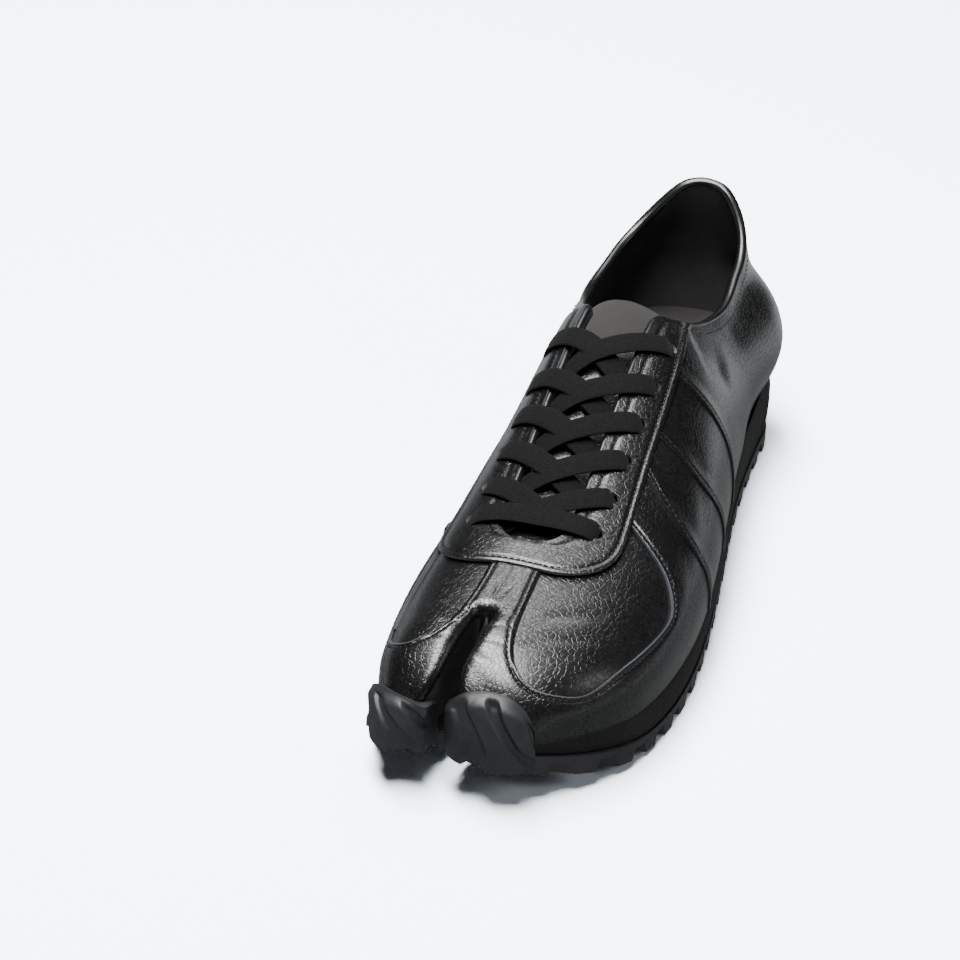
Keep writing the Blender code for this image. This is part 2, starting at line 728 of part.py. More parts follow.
def make_curl(side):
    # Rubber that turns up over one toe, hugging the lobe
    first, final = (math.radians(value) for value in CURL_SPAN[side])
    rings = []
    for angle in np.linspace(first, final, CURL_STEPS_ACROSS + 1):
        across = abs(2 * (angle - first) / (final - first) - 1)
        crown = (1 - across ** CURL_POWER) ** (1 / CURL_POWER)
        top = CURL_END_Z + (CURL_TOP_Z[side] - CURL_END_Z) * crown
        inner = []
        outer = []
        for z in np.linspace(CURL_FOOT_Z, top, CURL_STEPS_UP + 1):
            point = toe_face(angle, z, side)
            along = toe_face(angle + 0.02, z, side) - toe_face(angle - 0.02, z, side)
            up = toe_face(angle, z + 0.5, side) - toe_face(angle, z - 0.5, side)
            normal = np.cross(along, up)
            normal *= math.copysign(1.0, normal[1]) / np.linalg.norm(normal)
            inner.append(point + normal * CURL_LIFT)
            outer.append(point + normal * (CURL_LIFT + CURL_THIN + (CURL_THICK - CURL_THIN) * crown))
        rings.append(outer + inner[::-1])
    return loft("toe_curl", rings, "black_rubber")


def make_insole():
    mesh = bmesh.new()
    insole_rows = list(np.linspace(HEEL_CENTRE, INSOLE_SPLIT, 18)[1:])
    insole_rows += list(np.linspace(INSOLE_SPLIT + INSOLE_INSET, INSOLE_FRONT, 5))
    for side in (MEDIAL, LATERAL):
        rows = []
        for t in list(np.linspace(0, HEEL_GIRTH, 8)) + [walk(s) for s in insole_rows]:
            edge = skin_curve(t, side)[0]
            s = max(edge[1], HEEL_CENTRE) if t >= HEEL_GIRTH else HEEL_CENTRE
            ridge = float(last["ridge_x"](s))
            centre = np.array([ridge, s, 0.0])
            if s > INSOLE_SPLIT:
                beside = half_widths(s, side)[1] + INSOLE_INSET
                centre[0] += side * beside * min((s - INSOLE_SPLIT) / INSOLE_INSET, 1.0)
            inward = centre - np.array([edge[0], edge[1], 0.0])
            inward[1] = 0.0 if t >= HEEL_GIRTH else inward[1]
            reach = np.linalg.norm(inward)
            edge = edge + inward / reach * INSOLE_INSET * 1.15
            floor_z = float(last["feather_z"](edge[1]))
            edge[2] = floor_z
            centre[2] = floor_z
            rows.append([edge * (1 - k) + centre * k for k in (0.0, 0.5, 1.0)])
        add_sheet(mesh, np.array(rows), side == LATERAL)
    bmesh.ops.remove_doubles(mesh, verts=mesh.verts, dist=0.00005)
    bmesh.ops.dissolve_degenerate(mesh, edges=mesh.edges, dist=0.00005)
    bmesh.ops.recalc_face_normals(mesh, faces=mesh.faces)
    if sum(face.normal.z for face in mesh.faces) < 0:
        bmesh.ops.reverse_faces(mesh, faces=mesh.faces)
    item = new_object("insole", mesh, parts, "taupe_lining")
    solid = item.modifiers.new("thickness", "SOLIDIFY")
    solid.thickness = INSOLE_THICK * MM
    solid.offset = 1.0
    solid.use_even_offset = False
    bake(item)
    return item


def skin_point(s, across, lift):
    # Point of the closed skin at a station and a signed distance from the ridge line
    points = []
    for ds, da in ((0.0, 0.0), (1.0, 0.0), (0.0, 0.5)):
        side = LATERAL if across + da >= 0 else MEDIAL
        d, z = half_section(s + ds, side)
        widest = int(np.argmax(d))
        height = np.interp(abs(across + da), d[widest:][::-1], z[widest:][::-1])
        points.append(np.array([float(last["ridge_x"](s + ds)) + across + da, s + ds, height]))
    normal = np.cross(points[2] - points[0], points[1] - points[0])
    normal /= np.linalg.norm(normal)
    return points[0] + (normal if normal[2] > 0 else -normal) * lift


def band(path, lift, thick, width):
    # Flat strap along a path of (station, across) pairs, closed all round
    rings = []
    for s, across in path:
        ring = []
        for height, shift in ((lift, -width / 2), (lift, width / 2),
                              (lift + thick, width / 2), (lift + thick, -width / 2)):
            ring.append(skin_point(s + shift, across, height))
        rings.append(ring)
    return rings


def make_tongue():
    rows = []
    for s in np.linspace(TONGUE_BACK, TONGUE_FRONT, 16):
        part = (s - TONGUE_BACK) / (TONGUE_FRONT - TONGUE_BACK)
        half = TONGUE_HALF_TOP + (TONGUE_HALF_FRONT - TONGUE_HALF_TOP) * part
        rows.append([skin_point(s, half * f, -TONGUE_SINK) for f in np.linspace(-1, 1, 9)])
    mesh = bmesh.new()
    add_sheet(mesh, np.array(rows), False)
    bmesh.ops.recalc_face_normals(mesh, faces=mesh.faces)
    if sum(face.normal.z for face in mesh.faces) < 0:
        bmesh.ops.reverse_faces(mesh, faces=mesh.faces)
    item = new_object("tongue", mesh, parts, "taupe_lining")
    solid = item.modifiers.new("thickness", "SOLIDIFY")
    solid.thickness = TONGUE_THICK * MM
    solid.offset = -1.0
    solid.use_even_offset = False
    bake(item)
    return item


def make_laces():
    # A straight bar at the toe end, then crossed pairs up to the top eyelets
    along = np.linspace(-1, 1, LACE_STEPS + 1)
    straps = [([(LACE_ROWS[0], (LACE_REACH + LACE_STAGGER) * k) for k in along], LACE_OVER / 2)]
    for low, high in zip(LACE_ROWS[:-1], LACE_ROWS[1:]):
        for sign, over, reach in ((1, LACE_OVER, LACE_REACH), (-1, 0.0, LACE_REACH - LACE_STAGGER)):
            path = [(low + (high - low) * (k + 1) / 2, sign * reach * k) for k in along]
            straps.append((path, over))
    whole = None
    for number, (path, over) in enumerate(straps):
        rings = band(path, LACE_LIFT + over, LACE_THICK, LACE_WIDTH)
        strap = loft("laces" if number == 0 else "strap", rings, "black_cotton")
        if whole is None:
            whole = strap
        else:
            cut(whole, "UNION", strap)
            bpy.data.objects.remove(strap, do_unlink=True)
    return whole


def clear_scene():
    for item in list(bpy.data.objects):
        bpy.data.objects.remove(item, do_unlink=True)


def new_collection(name):
    made = bpy.data.collections.new(name)
    bpy.context.scene.collection.children.link(made)
    return made


def make_materials():
    made = {}
    for name, (colour, rough) in COLOURS.items():
        material = bpy.data.materials.new(name)
        material.use_nodes = True
        shader = material.node_tree.nodes["Principled BSDF"]
        shader.inputs["Base Color"].default_value = colour
        shader.inputs["Roughness"].default_value = rough
        made[name] = material
    return made


def set_down():
    # Stand the finished shoe on the floor, centred over the origin
    corners = np.array([vert.co for item in parts.objects for vert in item.data.vertices])
    low = corners.min(axis=0)
    high = corners.max(axis=0)
    shift = ((low[0] + high[0]) / 2, (low[1] + high[1]) / 2, low[2])
    for item in list(parts.objects) + list(cutters.objects):
        for vert in item.data.vertices:
            vert.co.x -= shift[0]
            vert.co.y -= shift[1]
            vert.co.z -= shift[2]
    print("shift", [round(value / MM, 3) for value in shift])


clear_scene()
materials = make_materials()
parts = new_collection(OBJECT_NAME)
cutters = new_collection(OBJECT_NAME + "_cutters")

upper = shell("upper", parts, 0.0, 0.0, -WALL, "black_leather")
skin = as_cutter(shell("overlay_skin", cutters, OVERLAY_START, OVERLAY_GAP, OVERLAY_THICK))

eyestay_cutter = prism("cut_eyestay", eyestay_outline(0.0), 30.0, 120.0, "z")
eyestay_clear = prism("cut_eyestay_clear", eyestay_outline(SEAT_GAP), 30.0, 120.0, "z")
window_cutters = [prism("cut_window_" + word, window_outline(points), 26.0, 120.0, "z")
                  for word, points in (("medial", WINDOW_MEDIAL), ("lateral", WINDOW_LATERAL))]
beyond_toe = natural_spline((0.0, 120.0), (330.0, 330.0))
behind_heel = natural_spline((0.0, 120.0), (-40.0, -40.0))
half_gap = SEAT_GAP / 2
toe_cutter = prism("cut_toe", seam_outline(beyond_toe, seams["third"], half_gap), -90.0, 90.0, "x")
heel_cutter = prism("cut_heel", seam_outline(seams["first"], behind_heel, half_gap), -90.0, 90.0, "x")
tab_lower = list(HEEL_TAB_EDGE)
tab_cutter = prism("cut_tab", tab_lower + [(36.0, 120.0), (-6.0, 120.0)], -60.0, 60.0, "x")
tab_clear = prism("cut_tab_clear", [(s, z - SEAT_GAP) for s, z in tab_lower[:-1]]
                  + [(36.0 + SEAT_GAP, 96.0), (36.0 + SEAT_GAP, 120.0), (-6.0, 120.0)], -60.0, 60.0, "x")

eyestay = copy_of(skin, "eyestay", "black_leather")
cut(eyestay, "INTERSECT", eyestay_cutter)

toe_guard = copy_of(skin, "toe_guard", "black_leather")
cut(toe_guard, "INTERSECT", toe_cutter)
cut(toe_guard, "DIFFERENCE", eyestay_clear)
for tool in window_cutters:
    cut(toe_guard, "DIFFERENCE", tool)

side_panels = []
for side, word, near, far in ((MEDIAL, "medial", -90.0, -6.0), (LATERAL, "lateral", -4.0, 90.0)):
    for place, front, rear in (("front", "third", "second"), ("rear", "second", "first")):
        name = "side_panel_" + place + "_" + word
        tool = prism("cut_" + name, seam_outline(seams[front], seams[rear], half_gap), near, far, "x")
        panel = copy_of(skin, name, "black_leather")
        cut(panel, "INTERSECT", tool)
        cut(panel, "DIFFERENCE", eyestay_clear)
        side_panels.append(panel)

heel_quarter = copy_of(skin, "heel_quarter", "black_leather")
cut(heel_quarter, "INTERSECT", heel_cutter)
cut(heel_quarter, "DIFFERENCE", eyestay_clear)
cut(heel_quarter, "DIFFERENCE", tab_clear)

heel_tab = copy_of(skin, "heel_tab", "black_leather")
cut(heel_tab, "INTERSECT", tab_cutter)

midsole = make_midsole()
outsole = make_outsole()
notch = prism("cut_toe_notch", notch_outline(), -5.0, 60.0, "z")
cut(midsole, "DIFFERENCE", notch)
cut(outsole, "DIFFERENCE", notch)
curl_slot = prism("cut_curl_slot", slot_outline(), -5.0, 60.0, "z")
for side in (MEDIAL, LATERAL):
    curl = make_curl(side)
    cut(curl, "DIFFERENCE", curl_slot)
    cut(outsole, "UNION", curl)
    bpy.data.objects.remove(curl, do_unlink=True)

insole = make_insole()
tongue = make_tongue()
laces = make_laces()

for item in parts.objects:
    tidy(item)
set_down()
for item in parts.objects:
    print(item.name, len(item.data.polygons))
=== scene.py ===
import math

import bmesh
import bpy
import numpy as np
from mathutils import Matrix, Vector


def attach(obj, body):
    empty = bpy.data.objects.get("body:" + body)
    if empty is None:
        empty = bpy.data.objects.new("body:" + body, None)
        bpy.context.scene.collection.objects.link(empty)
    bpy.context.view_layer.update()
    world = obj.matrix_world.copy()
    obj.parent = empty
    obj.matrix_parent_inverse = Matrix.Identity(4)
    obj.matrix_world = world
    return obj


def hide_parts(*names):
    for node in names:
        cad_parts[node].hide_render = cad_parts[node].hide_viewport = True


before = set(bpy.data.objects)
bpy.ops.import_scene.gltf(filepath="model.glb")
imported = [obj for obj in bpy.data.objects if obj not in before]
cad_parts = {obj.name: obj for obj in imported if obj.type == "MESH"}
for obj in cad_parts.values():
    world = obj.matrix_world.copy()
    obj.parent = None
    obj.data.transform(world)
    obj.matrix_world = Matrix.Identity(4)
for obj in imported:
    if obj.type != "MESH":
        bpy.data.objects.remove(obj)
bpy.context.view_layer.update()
print("frame loaded:", len(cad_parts), "nodes")

# Sizes are millimetres on the last: x across, s from the heel back to the toe, z up.
# The frame is in metres with the toe to -Y and the shoe's middle at the origin.
mm = 0.001
frameCentre = {"x": 3.217, "s": 147.575}
medial = -1
lateral = 1
sides = (medial, lateral)

lastShape = {
    "columns": ("s", "ridgeX", "medialX", "lateralX", "featherZ", "ridgeZ",
                "medialPower", "lateralPower", "medialBulge", "lateralBulge"),
    "sections": (
        (38.0, -2.0, -32.0, 34.0, 30.0, 100.0, 2.60, 1.90, 2.5, 3.5),
        (70.0, -4.0, -31.0, 35.5, 28.0, 88.0, 2.80, 1.70, 2.5, 3.5),
        (100.0, -5.0, -30.5, 38.5, 26.0, 91.0, 2.50, 1.80, 2.5, 3.5),
        (125.0, -5.0, -32.0, 42.0, 24.5, 90.0, 2.20, 1.90, 2.5, 3.5),
        (150.0, -5.0, -34.5, 45.5, 23.0, 82.0, 2.05, 1.95, 2.5, 3.5),
        (175.0, -5.0, -38.0, 48.5, 21.5, 72.0, 2.05, 2.00, 2.5, 3.5),
        (200.0, -5.0, -41.0, 50.0, 20.5, 63.0, 2.10, 2.10, 2.5, 3.5),
        (225.0, -6.0, -42.5, 48.5, 20.0, 56.0, 2.20, 2.20, 2.5, 3.0),
        (245.0, -7.5, -42.0, 44.5, 20.0, 51.5, 2.30, 2.30, 2.0, 2.5),
        (262.0, -10.4, -40.0, 38.0, 21.0, 48.5, 2.40, 2.40, 1.5, 2.0),
        (286.0, -14.5, -36.0, 25.0, 23.0, 45.0, 2.40, 2.40, 1.5, 1.5),
    ),
    "cupColumns": ("z", "medialHalf", "lateralHalf", "backS"),
    "cup": (
        (30.0, 30.0, 36.0, 6.5), (42.0, 32.5, 39.5, 4.0), (54.0, 32.0, 37.5, 3.0), (60.0, 30.5, 33.5, 3.2),
        (67.0, 27.0, 26.5, 4.2), (74.0, 24.5, 23.5, 5.6), (85.0, 20.0, 21.5, 8.2), (100.0, 13.5, 17.0, 12.5),
    ),
    "collarColumns": ("t", "z"),
    "collar": (
        (0.0, 97.0), (10.0, 96.5), (18.0, 95.0), (26.0, 91.0), (34.0, 85.5), (42.0, 80.0), (56.0, 74.0),
        (69.0, 71.5), (82.0, 71.8), (96.0, 74.6), (108.0, 79.2), (117.0, 84.0), (124.0, 88.5), (134.0, 96.0),
    ),
    "heelCentre": 38.0, "heelGirth": 54.0, "heelPower": 2.2, "heelAxisShift": 3.0, "instepStart": 84.0,
    "collarEnd": 134.0,
    "slitEnd": 252.0, "slitRun": 6.0, "slitGap": 6.2, "slitFloor": 3.0, "slitShoulder": 2.2, "slitRoll": 1.0,
    "slitSteep": 0.6, "rollSteps": 30, "wallSteps": 20,
    "toeTip": {medial: 287.5, lateral: 287.0}, "toeTipX": {medial: -27.0, lateral: 6.0},
    "toeRoundOuter": {medial: 24.0, lateral: 40.0}, "toeRoundInner": {medial: 12.0, lateral: 14.0},
    "crownFall": 34.0, "crownPower": 2.4, "bulgeFade": 30.0, "roundPower": 2.2,
    "throatHalf": 12.5, "throatBend": 208.0, "throatFront": 220.0,
    "wall": 2.0, "samples": 160, "columnsAcross": 220, "rowStep": 0.5, "toeWalk": 65.0,
}


def naturalSpline(xs, ys):
    # Cubic through the table rows with straight ends
    xs = np.asarray(xs, float)
    ys = np.asarray(ys, float)
    count = len(xs)
    step = np.diff(xs)
    matrix = np.eye(count)
    right = np.zeros(count)
    for i in range(1, count - 1):
        matrix[i, i - 1:i + 2] = (step[i - 1], 2 * (step[i - 1] + step[i]), step[i])
        right[i] = 6 * ((ys[i + 1] - ys[i]) / step[i] - (ys[i] - ys[i - 1]) / step[i - 1])
    bend = np.linalg.solve(matrix, right)

    def value(x):
        x = np.clip(np.asarray(x, float), xs[0], xs[-1])
        i = np.clip(np.searchsorted(xs, x) - 1, 0, count - 2)
        a = (xs[i + 1] - x) / step[i]
        b = (x - xs[i]) / step[i]
        curve = (a ** 3 - a) * bend[i] + (b ** 3 - b) * bend[i + 1]
        return a * ys[i] + b * ys[i + 1] + curve * step[i] ** 2 / 6
    return value


def splines(columns, rows):
    grid = np.array(rows)
    return {name: naturalSpline(grid[:, 0], grid[:, i]) for i, name in enumerate(columns) if i}


last = splines(lastShape["columns"], lastShape["sections"])
cup = splines(lastShape["cupColumns"], lastShape["cup"])
collarZ = splines(lastShape["collarColumns"], lastShape["collar"])["z"]


def sideName(side, column):
    return ("medial" if side == medial else "lateral") + column


def ease(x):
    x = np.clip(x, 0.0, 1.0)
    return x * x * (3 - 2 * x)


def roundOff(s, tip, run, power):
    r = min(max((s - (tip - run)) / run, 0.0), 1.0)
    return (1 - r ** power) ** (1 / power)


def slotHalf(s, end):
    # Half width of the toe slit, with a round end
    radius = lastShape["slitGap"] / 2
    into = min(max(s - end, 0.0), radius)
    return math.sqrt(radius ** 2 - (radius - into) ** 2)


def halfWidths(s, side):
    # Outer edge and slit wall, measured from the ridge line
    shape = lastShape
    ridge = float(last["ridgeX"](s))
    tip = shape["toeTip"][side]
    tipX = shape["toeTipX"][side]
    outer = float(last[sideName(side, "X")](s))
    outer = tipX + (outer - tipX) * roundOff(s, tip, shape["toeRoundOuter"][side], shape["roundPower"])
    if s <= shape["slitEnd"]:
        return side * (outer - ridge), 0.0
    inner = ridge + side * slotHalf(s, shape["slitEnd"])
    inner = tipX + (inner - tipX) * roundOff(s, tip, shape["toeRoundInner"][side], shape["roundPower"])
    return side * (outer - ridge), side * (inner - ridge)


def halfSection(s, side):
    # Outline of one half from the feather line up to the ridge, or down into the slit
    shape = lastShape
    foot = float(last["featherZ"](s))
    tip = shape["toeTip"][side]
    height = (float(last["ridgeZ"](s)) - foot) * roundOff(s, tip, shape["crownFall"], shape["crownPower"])
    outer, inner = halfWidths(s, side)
    power = float(last[sideName(side, "Power")](s))
    bulge = float(last[sideName(side, "Bulge")](s))
    bulge *= roundOff(s, tip, shape["bulgeFade"], shape["roundPower"])
    turn = np.linspace(0, math.pi / 2, shape["samples"])
    d = outer * np.cos(turn) ** (2 / power) + bulge * np.sin(2 * turn) ** 1.2 * np.cos(turn)
    z = foot + height * np.sin(turn) ** (2 / power)
    if s < shape["instepStart"]:
        blend = ease((s - shape["heelCentre"]) / (shape["instepStart"] - shape["heelCentre"]))
        d = d * blend + cup[sideName(side, "Half")](z) * (1 - blend)
    if s <= shape["slitEnd"] - shape["slitShoulder"]:
        return d, z
    return foldIntoSlit(s, d, z, outer, inner, foot, height)


def foldIntoSlit(s, d, z, outer, inner, foot, height):
    # The leather rolls over a shoulder all round the slit and runs down the slit wall
    shape = lastShape
    radius = shape["slitGap"] / 2
    shoulder = min(shape["slitShoulder"], max(0.45 * (outer - inner), 0.001))
    behind = max(shape["slitEnd"] + radius - s, 0.0)
    start = math.sqrt((radius + shoulder) ** 2 - behind ** 2) if behind else inner + shoulder
    top = d > start
    rollD = inner + (start - inner) * (1 - np.sin(np.linspace(0, math.pi / 2, shape["rollSteps"])))
    away = np.hypot(rollD, behind) - radius if behind else rollD - inner
    near = 1 - np.clip(away / shoulder, 0.0, 1.0)
    past = s - shape["slitEnd"]
    held = min(shape["slitFloor"], height) * float(1 - ease((past - shape["slitRun"]) / shape["slitFloor"]))
    drop = min(height - held, shoulder * shape["slitRoll"])
    rollZ = np.interp(rollD, d[::-1], z[::-1]) - drop * (1 - np.sqrt(1 - near ** 2))
    d = np.concatenate([d[top], rollD])
    z = np.concatenate([z[top], rollZ])
    if s <= shape["slitEnd"]:
        return d, z
    depth = drop + (height - held - drop) * min(past / shape["slitRun"], 1.0) ** shape["slitSteep"]
    wallZ = np.linspace(rollZ[-1], min(foot + height - depth, rollZ[-1]), shape["wallSteps"])
    return np.concatenate([d, np.full(shape["wallSteps"], inner)]), np.concatenate([z, wallZ])


slitWalk = lastShape["slitEnd"] - lastShape["heelCentre"] + lastShape["heelGirth"]
walkEnd = slitWalk + lastShape["toeWalk"]


def walkOf(s, side):
    # Walk distance from the back seam: even along the foot, then closing up towards the toe tip
    s = np.asarray(s, float)
    run = lastShape["toeTip"][side] - lastShape["slitEnd"]
    turn = np.arcsin(np.clip((s - lastShape["slitEnd"]) / run, 0.0, 1.0))
    near = s - lastShape["heelCentre"] + lastShape["heelGirth"]
    return np.where(s <= lastShape["slitEnd"], near, slitWalk + lastShape["toeWalk"] * turn / (math.pi / 2))


def stationOf(walk, side):
    run = lastShape["toeTip"][side] - lastShape["slitEnd"]
    if walk <= slitWalk:
        return walk - lastShape["heelGirth"] + lastShape["heelCentre"]
    return lastShape["slitEnd"] + run * math.sin(math.pi / 2 * (walk - slitWalk) / lastShape["toeWalk"])


def skinCurve(walk, side):
    shape = lastShape
    if walk < shape["heelGirth"]:
        d, z = halfSection(shape["heelCentre"], side)
        turn = math.pi / 2 * (1 - walk / shape["heelGirth"])
        out = math.cos(turn) ** (2 / shape["heelPower"])
        back = math.sin(turn) ** (2 / shape["heelPower"])
        x = float(last["ridgeX"](shape["heelCentre"])) + shape["heelAxisShift"] * back + side * d * out
        return np.stack([x, shape["heelCentre"] - (shape["heelCentre"] - cup["backS"](z)) * back, z], -1)
    s = stationOf(walk, side)
    d, z = halfSection(s, side)
    return np.stack([float(last["ridgeX"](s)) + side * d, np.full(len(d), s), z], -1)


def girthOf(points):
    return np.concatenate([[0.0], np.cumsum(np.linalg.norm(np.diff(points, axis=0), axis=1))])


def openGirth(walk, side, points, run):
    # Girth at which the leather stops: collar, throat edge or the end of the curve
    shape = lastShape
    end = run[-1]
    limit = float(collarZ(walk))
    over = np.nonzero(points[:, 2] > limit)[0]
    if walk < shape["collarEnd"] + 16.0 and len(over):
        i = over[0]
        low, high = points[i - 1, 2], points[i, 2]
        end = min(end, run[i - 1] + (run[i] - run[i - 1]) * (limit - low) / (high - low))
    s = stationOf(walk, side)
    if walk >= shape["heelGirth"] and s < shape["throatFront"]:
        bend = (s - shape["throatBend"]) / (shape["throatFront"] - shape["throatBend"])
        half = shape["throatHalf"] * math.sqrt(1 - min(max(bend, 0.0), 1.0) ** 2)
        d = side * (points[:, 0] - float(last["ridgeX"](s)))
        inside = np.nonzero(d < half)[0]
        if len(inside):
            i = inside[0]
            end = min(end, run[i - 1] + (run[i] - run[i - 1]) * (d[i - 1] - half) / (d[i - 1] - d[i]))
    return end


skinGrid = {}
girthSteps = np.linspace(0, 1, lastShape["columnsAcross"])
walkRows = np.arange(0, walkEnd + 0.01, lastShape["rowStep"])
for side in sides:
    rows = []
    openings = []
    lengths = []
    lips = []
    for walk in walkRows:
        curve = skinCurve(walk, side)
        run = girthOf(curve)
        whole = max(run[-1], 1e-6)
        openings.append(openGirth(walk, side, curve, run) / whole)
        lengths.append(run[-1])
        inSlit = stationOf(walk, side) > lastShape["slitEnd"]
        lips.append(run[-1 - lastShape["wallSteps"]] / whole if inSlit else 1.0)
        rows.append(np.stack([np.interp(girthSteps * run[-1], run, curve[:, k]) for k in range(3)], -1))
    points = np.array(rows)
    normals = np.cross(np.gradient(points, axis=0), np.gradient(points, axis=1)) * side
    size = np.linalg.norm(normals, axis=-1, keepdims=True)
    normals = np.where(size > 1e-7, normals / np.maximum(size, 1e-7), (0.0, 1.0, 0.0))
    skinGrid[side] = {"points": points, "normals": normals, "open": np.array(openings),
                      "length": np.array(lengths), "lip": np.array(lips)}
print("last worked out:", skinGrid[lateral]["points"].shape)


def blendRows(grid, side, walk, g):
    place = np.clip(np.asarray(walk, float), 0, walkEnd - 0.001) / lastShape["rowStep"]
    column = np.clip(np.asarray(g, float), 0, 1) * (lastShape["columnsAcross"] - 1)
    i = place.astype(int)
    j = np.minimum(column.astype(int), lastShape["columnsAcross"] - 2)
    a = (place - i)[..., None]
    b = (column - j)[..., None]
    field = skinGrid[side][grid]
    low = field[i, j] * (1 - a) + field[i + 1, j] * a
    high = field[i, j + 1] * (1 - a) + field[i + 1, j + 1] * a
    return low * (1 - b) + high * b


def rowOf(side, walk):
    place = min(max(float(walk), 0.0), walkEnd - 0.001) / lastShape["rowStep"]
    i = int(place)
    points = skinGrid[side]["points"]
    return points[i] * (1 - (place - i)) + points[i + 1] * (place - i)


def openAt(side, walk):
    return np.interp(walk, walkRows, skinGrid[side]["open"])


def lengthAt(side, walk):
    return np.interp(walk, walkRows, skinGrid[side]["length"])


def lipAt(side, walk):
    # Girth fraction at which the slit wall starts
    return np.interp(walk, walkRows, skinGrid[side]["lip"])


def girthAtAcross(side, walks, acrosses):
    # Girth fraction where the skin is a given distance from the ridge line
    out = []
    for walk, across in np.broadcast(walks, acrosses):
        row = rowOf(side, walk)
        d = side * (row[:, 0] - last["ridgeX"](row[:, 1]))
        widest = int(np.argmax(d))
        out.append(np.interp(-across, -d[widest:], girthSteps[widest:]))
    return np.array(out).reshape(np.broadcast(walks, acrosses).shape)


# Creases and soft hollows, each a trough from one place to another on the leather.
# Vamp rows: distance from the ridge line and station of both ends, depth, width.
creases = {
    "vamp": (
        (-4.5, 250.0, -9.5, 245.5, 0.16, 0.8), (-5.0, 255.5, -12.0, 252.5, 0.18, 0.9),
        (-5.0, 261.0, -12.5, 260.0, 0.20, 0.9), (-5.0, 266.5, -12.5, 267.5, 0.20, 0.9),
        (-5.0, 272.0, -11.5, 275.0, 0.18, 0.9),
        (4.5, 250.0, 10.0, 244.0, 0.16, 0.8), (5.0, 255.0, 12.0, 250.0, 0.18, 0.9),
        (5.0, 260.0, 13.0, 257.5, 0.20, 0.9), (5.0, 265.5, 13.5, 265.5, 0.20, 0.9),
        (5.0, 271.0, 13.0, 273.5, 0.18, 0.9),
        (-1.0, 247.5, -1.8, 240.0, 0.14, 0.7), (1.5, 247.5, 3.6, 240.5, 0.14, 0.7),
        (18.0, 250.0, 36.0, 238.0, 0.25, 2.2), (17.0, 262.0, 34.0, 252.0, 0.22, 2.2),
    ),
    # Side rows: side, then station and height of both ends, depth, width
    "side": (
        (lateral, 104.0, 77.0, 92.0, 62.0, 1.5, 7.0), (medial, 100.0, 76.0, 88.0, 62.0, 1.0, 7.0),
        (lateral, 70.0, 64.0, 48.0, 68.0, 0.35, 6.0), (lateral, 150.0, 62.0, 176.0, 42.0, 0.35, 4.0),
    ),
}


def trough(a, b, start, end, depth, width):
    along = np.array(end) - np.array(start)
    length = np.linalg.norm(along)
    across = ((a - start[0]) * along[1] - (b - start[1]) * along[0]) / length
    part = ((a - start[0]) * along[0] + (b - start[1]) * along[1]) / length ** 2
    fade = ease((part + 0.15) / 0.35) * ease((1.25 - part) / 0.5)
    return -depth * np.exp(-(across / width) ** 2) * fade


def relief(points, side):
    x, s, z = points[..., 0], points[..., 1], points[..., 2]
    d = x - last["ridgeX"](s)
    total = np.zeros(x.shape)
    for d0, s0, d1, s1, depth, width in creases["vamp"]:
        total += trough(d, s, (d0, s0), (d1, s1), depth, width) * (z > 34)
    for which, s0, z0, s1, z1, depth, width in creases["side"]:
        if which == side:
            total += trough(s, z, (s0, z0), (s1, z1), depth, width)
    return total


def skinAt(side, walk, g, lift=0.0):
    # Points and normals on the leather, raised by lift
    points = blendRows("points", side, walk, g)
    normals = blendRows("normals", side, walk, g)
    normals = normals / np.maximum(np.linalg.norm(normals, axis=-1, keepdims=True), 1e-9)
    height = np.broadcast_to(np.asarray(lift, float), points.shape[:-1]) + relief(points, side)
    return points + normals * height[..., None], normals


def toFrame(points):
    points = np.asarray(points, float)
    return np.stack([(points[..., 0] - frameCentre["x"]) * mm,
                     (frameCentre["s"] - points[..., 1]) * mm, points[..., 2] * mm], -1)


def turnToFrame(vectors):
    return np.stack([vectors[..., 0], -vectors[..., 1], vectors[..., 2]], -1)


# Modelling helpers: a grid from the operator, moved onto the places worked out for it
def addSheet(bm, points, outward, surface=None):
    rows, cols = points.shape[:2]
    made = bmesh.ops.create_grid(bm, x_segments=rows - 1, y_segments=cols - 1, size=0.5)
    verts = sorted(made["verts"], key=lambda v: (round(v.co.x, 6), round(v.co.y, 6)))
    for vert, place in zip(verts, points.reshape(-1, 3)):
        vert.co = place
    down = points[1:, :-1] - points[:-1, :-1]
    over = points[:-1, 1:] - points[:-1, :-1]
    faces = list({face for vert in verts for face in vert.link_faces})
    if np.sum(np.cross(down, over) * outward[:-1, :-1]) < 0:
        bmesh.ops.reverse_faces(bm, faces=faces)
    if surface is not None:
        layer = bm.loops.layers.uv.verify()
        place = {vert: tuple(value) for vert, value in zip(verts, surface.reshape(-1, 2))}
        for face in faces:
            for loop in face.loops:
                loop[layer].uv = place[loop.vert]
    return verts, faces


def addSkin(bm, side, walk, g, lift, surface=None):
    points, normals = skinAt(side, walk, g, lift)
    return addSheet(bm, toFrame(points), turnToFrame(normals), surface)


def weld(bm, distance=0.00003):
    bmesh.ops.remove_doubles(bm, verts=bm.verts, dist=distance)
    bmesh.ops.dissolve_degenerate(bm, edges=bm.edges, dist=distance / 3)


def newPiece(name, bm, looks, replaced=()):
    data = bpy.data.meshes.new(name)
    bm.to_mesh(data)
    bm.free()
    for polygon in data.polygons:
        polygon.use_smooth = True
    for look in looks:
        data.materials.append(look)
    piece = bpy.data.objects.new(name, data)
    bpy.context.scene.collection.objects.link(piece)
    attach(piece, "root")
    if replaced:
        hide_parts(*replaced)
    return piece


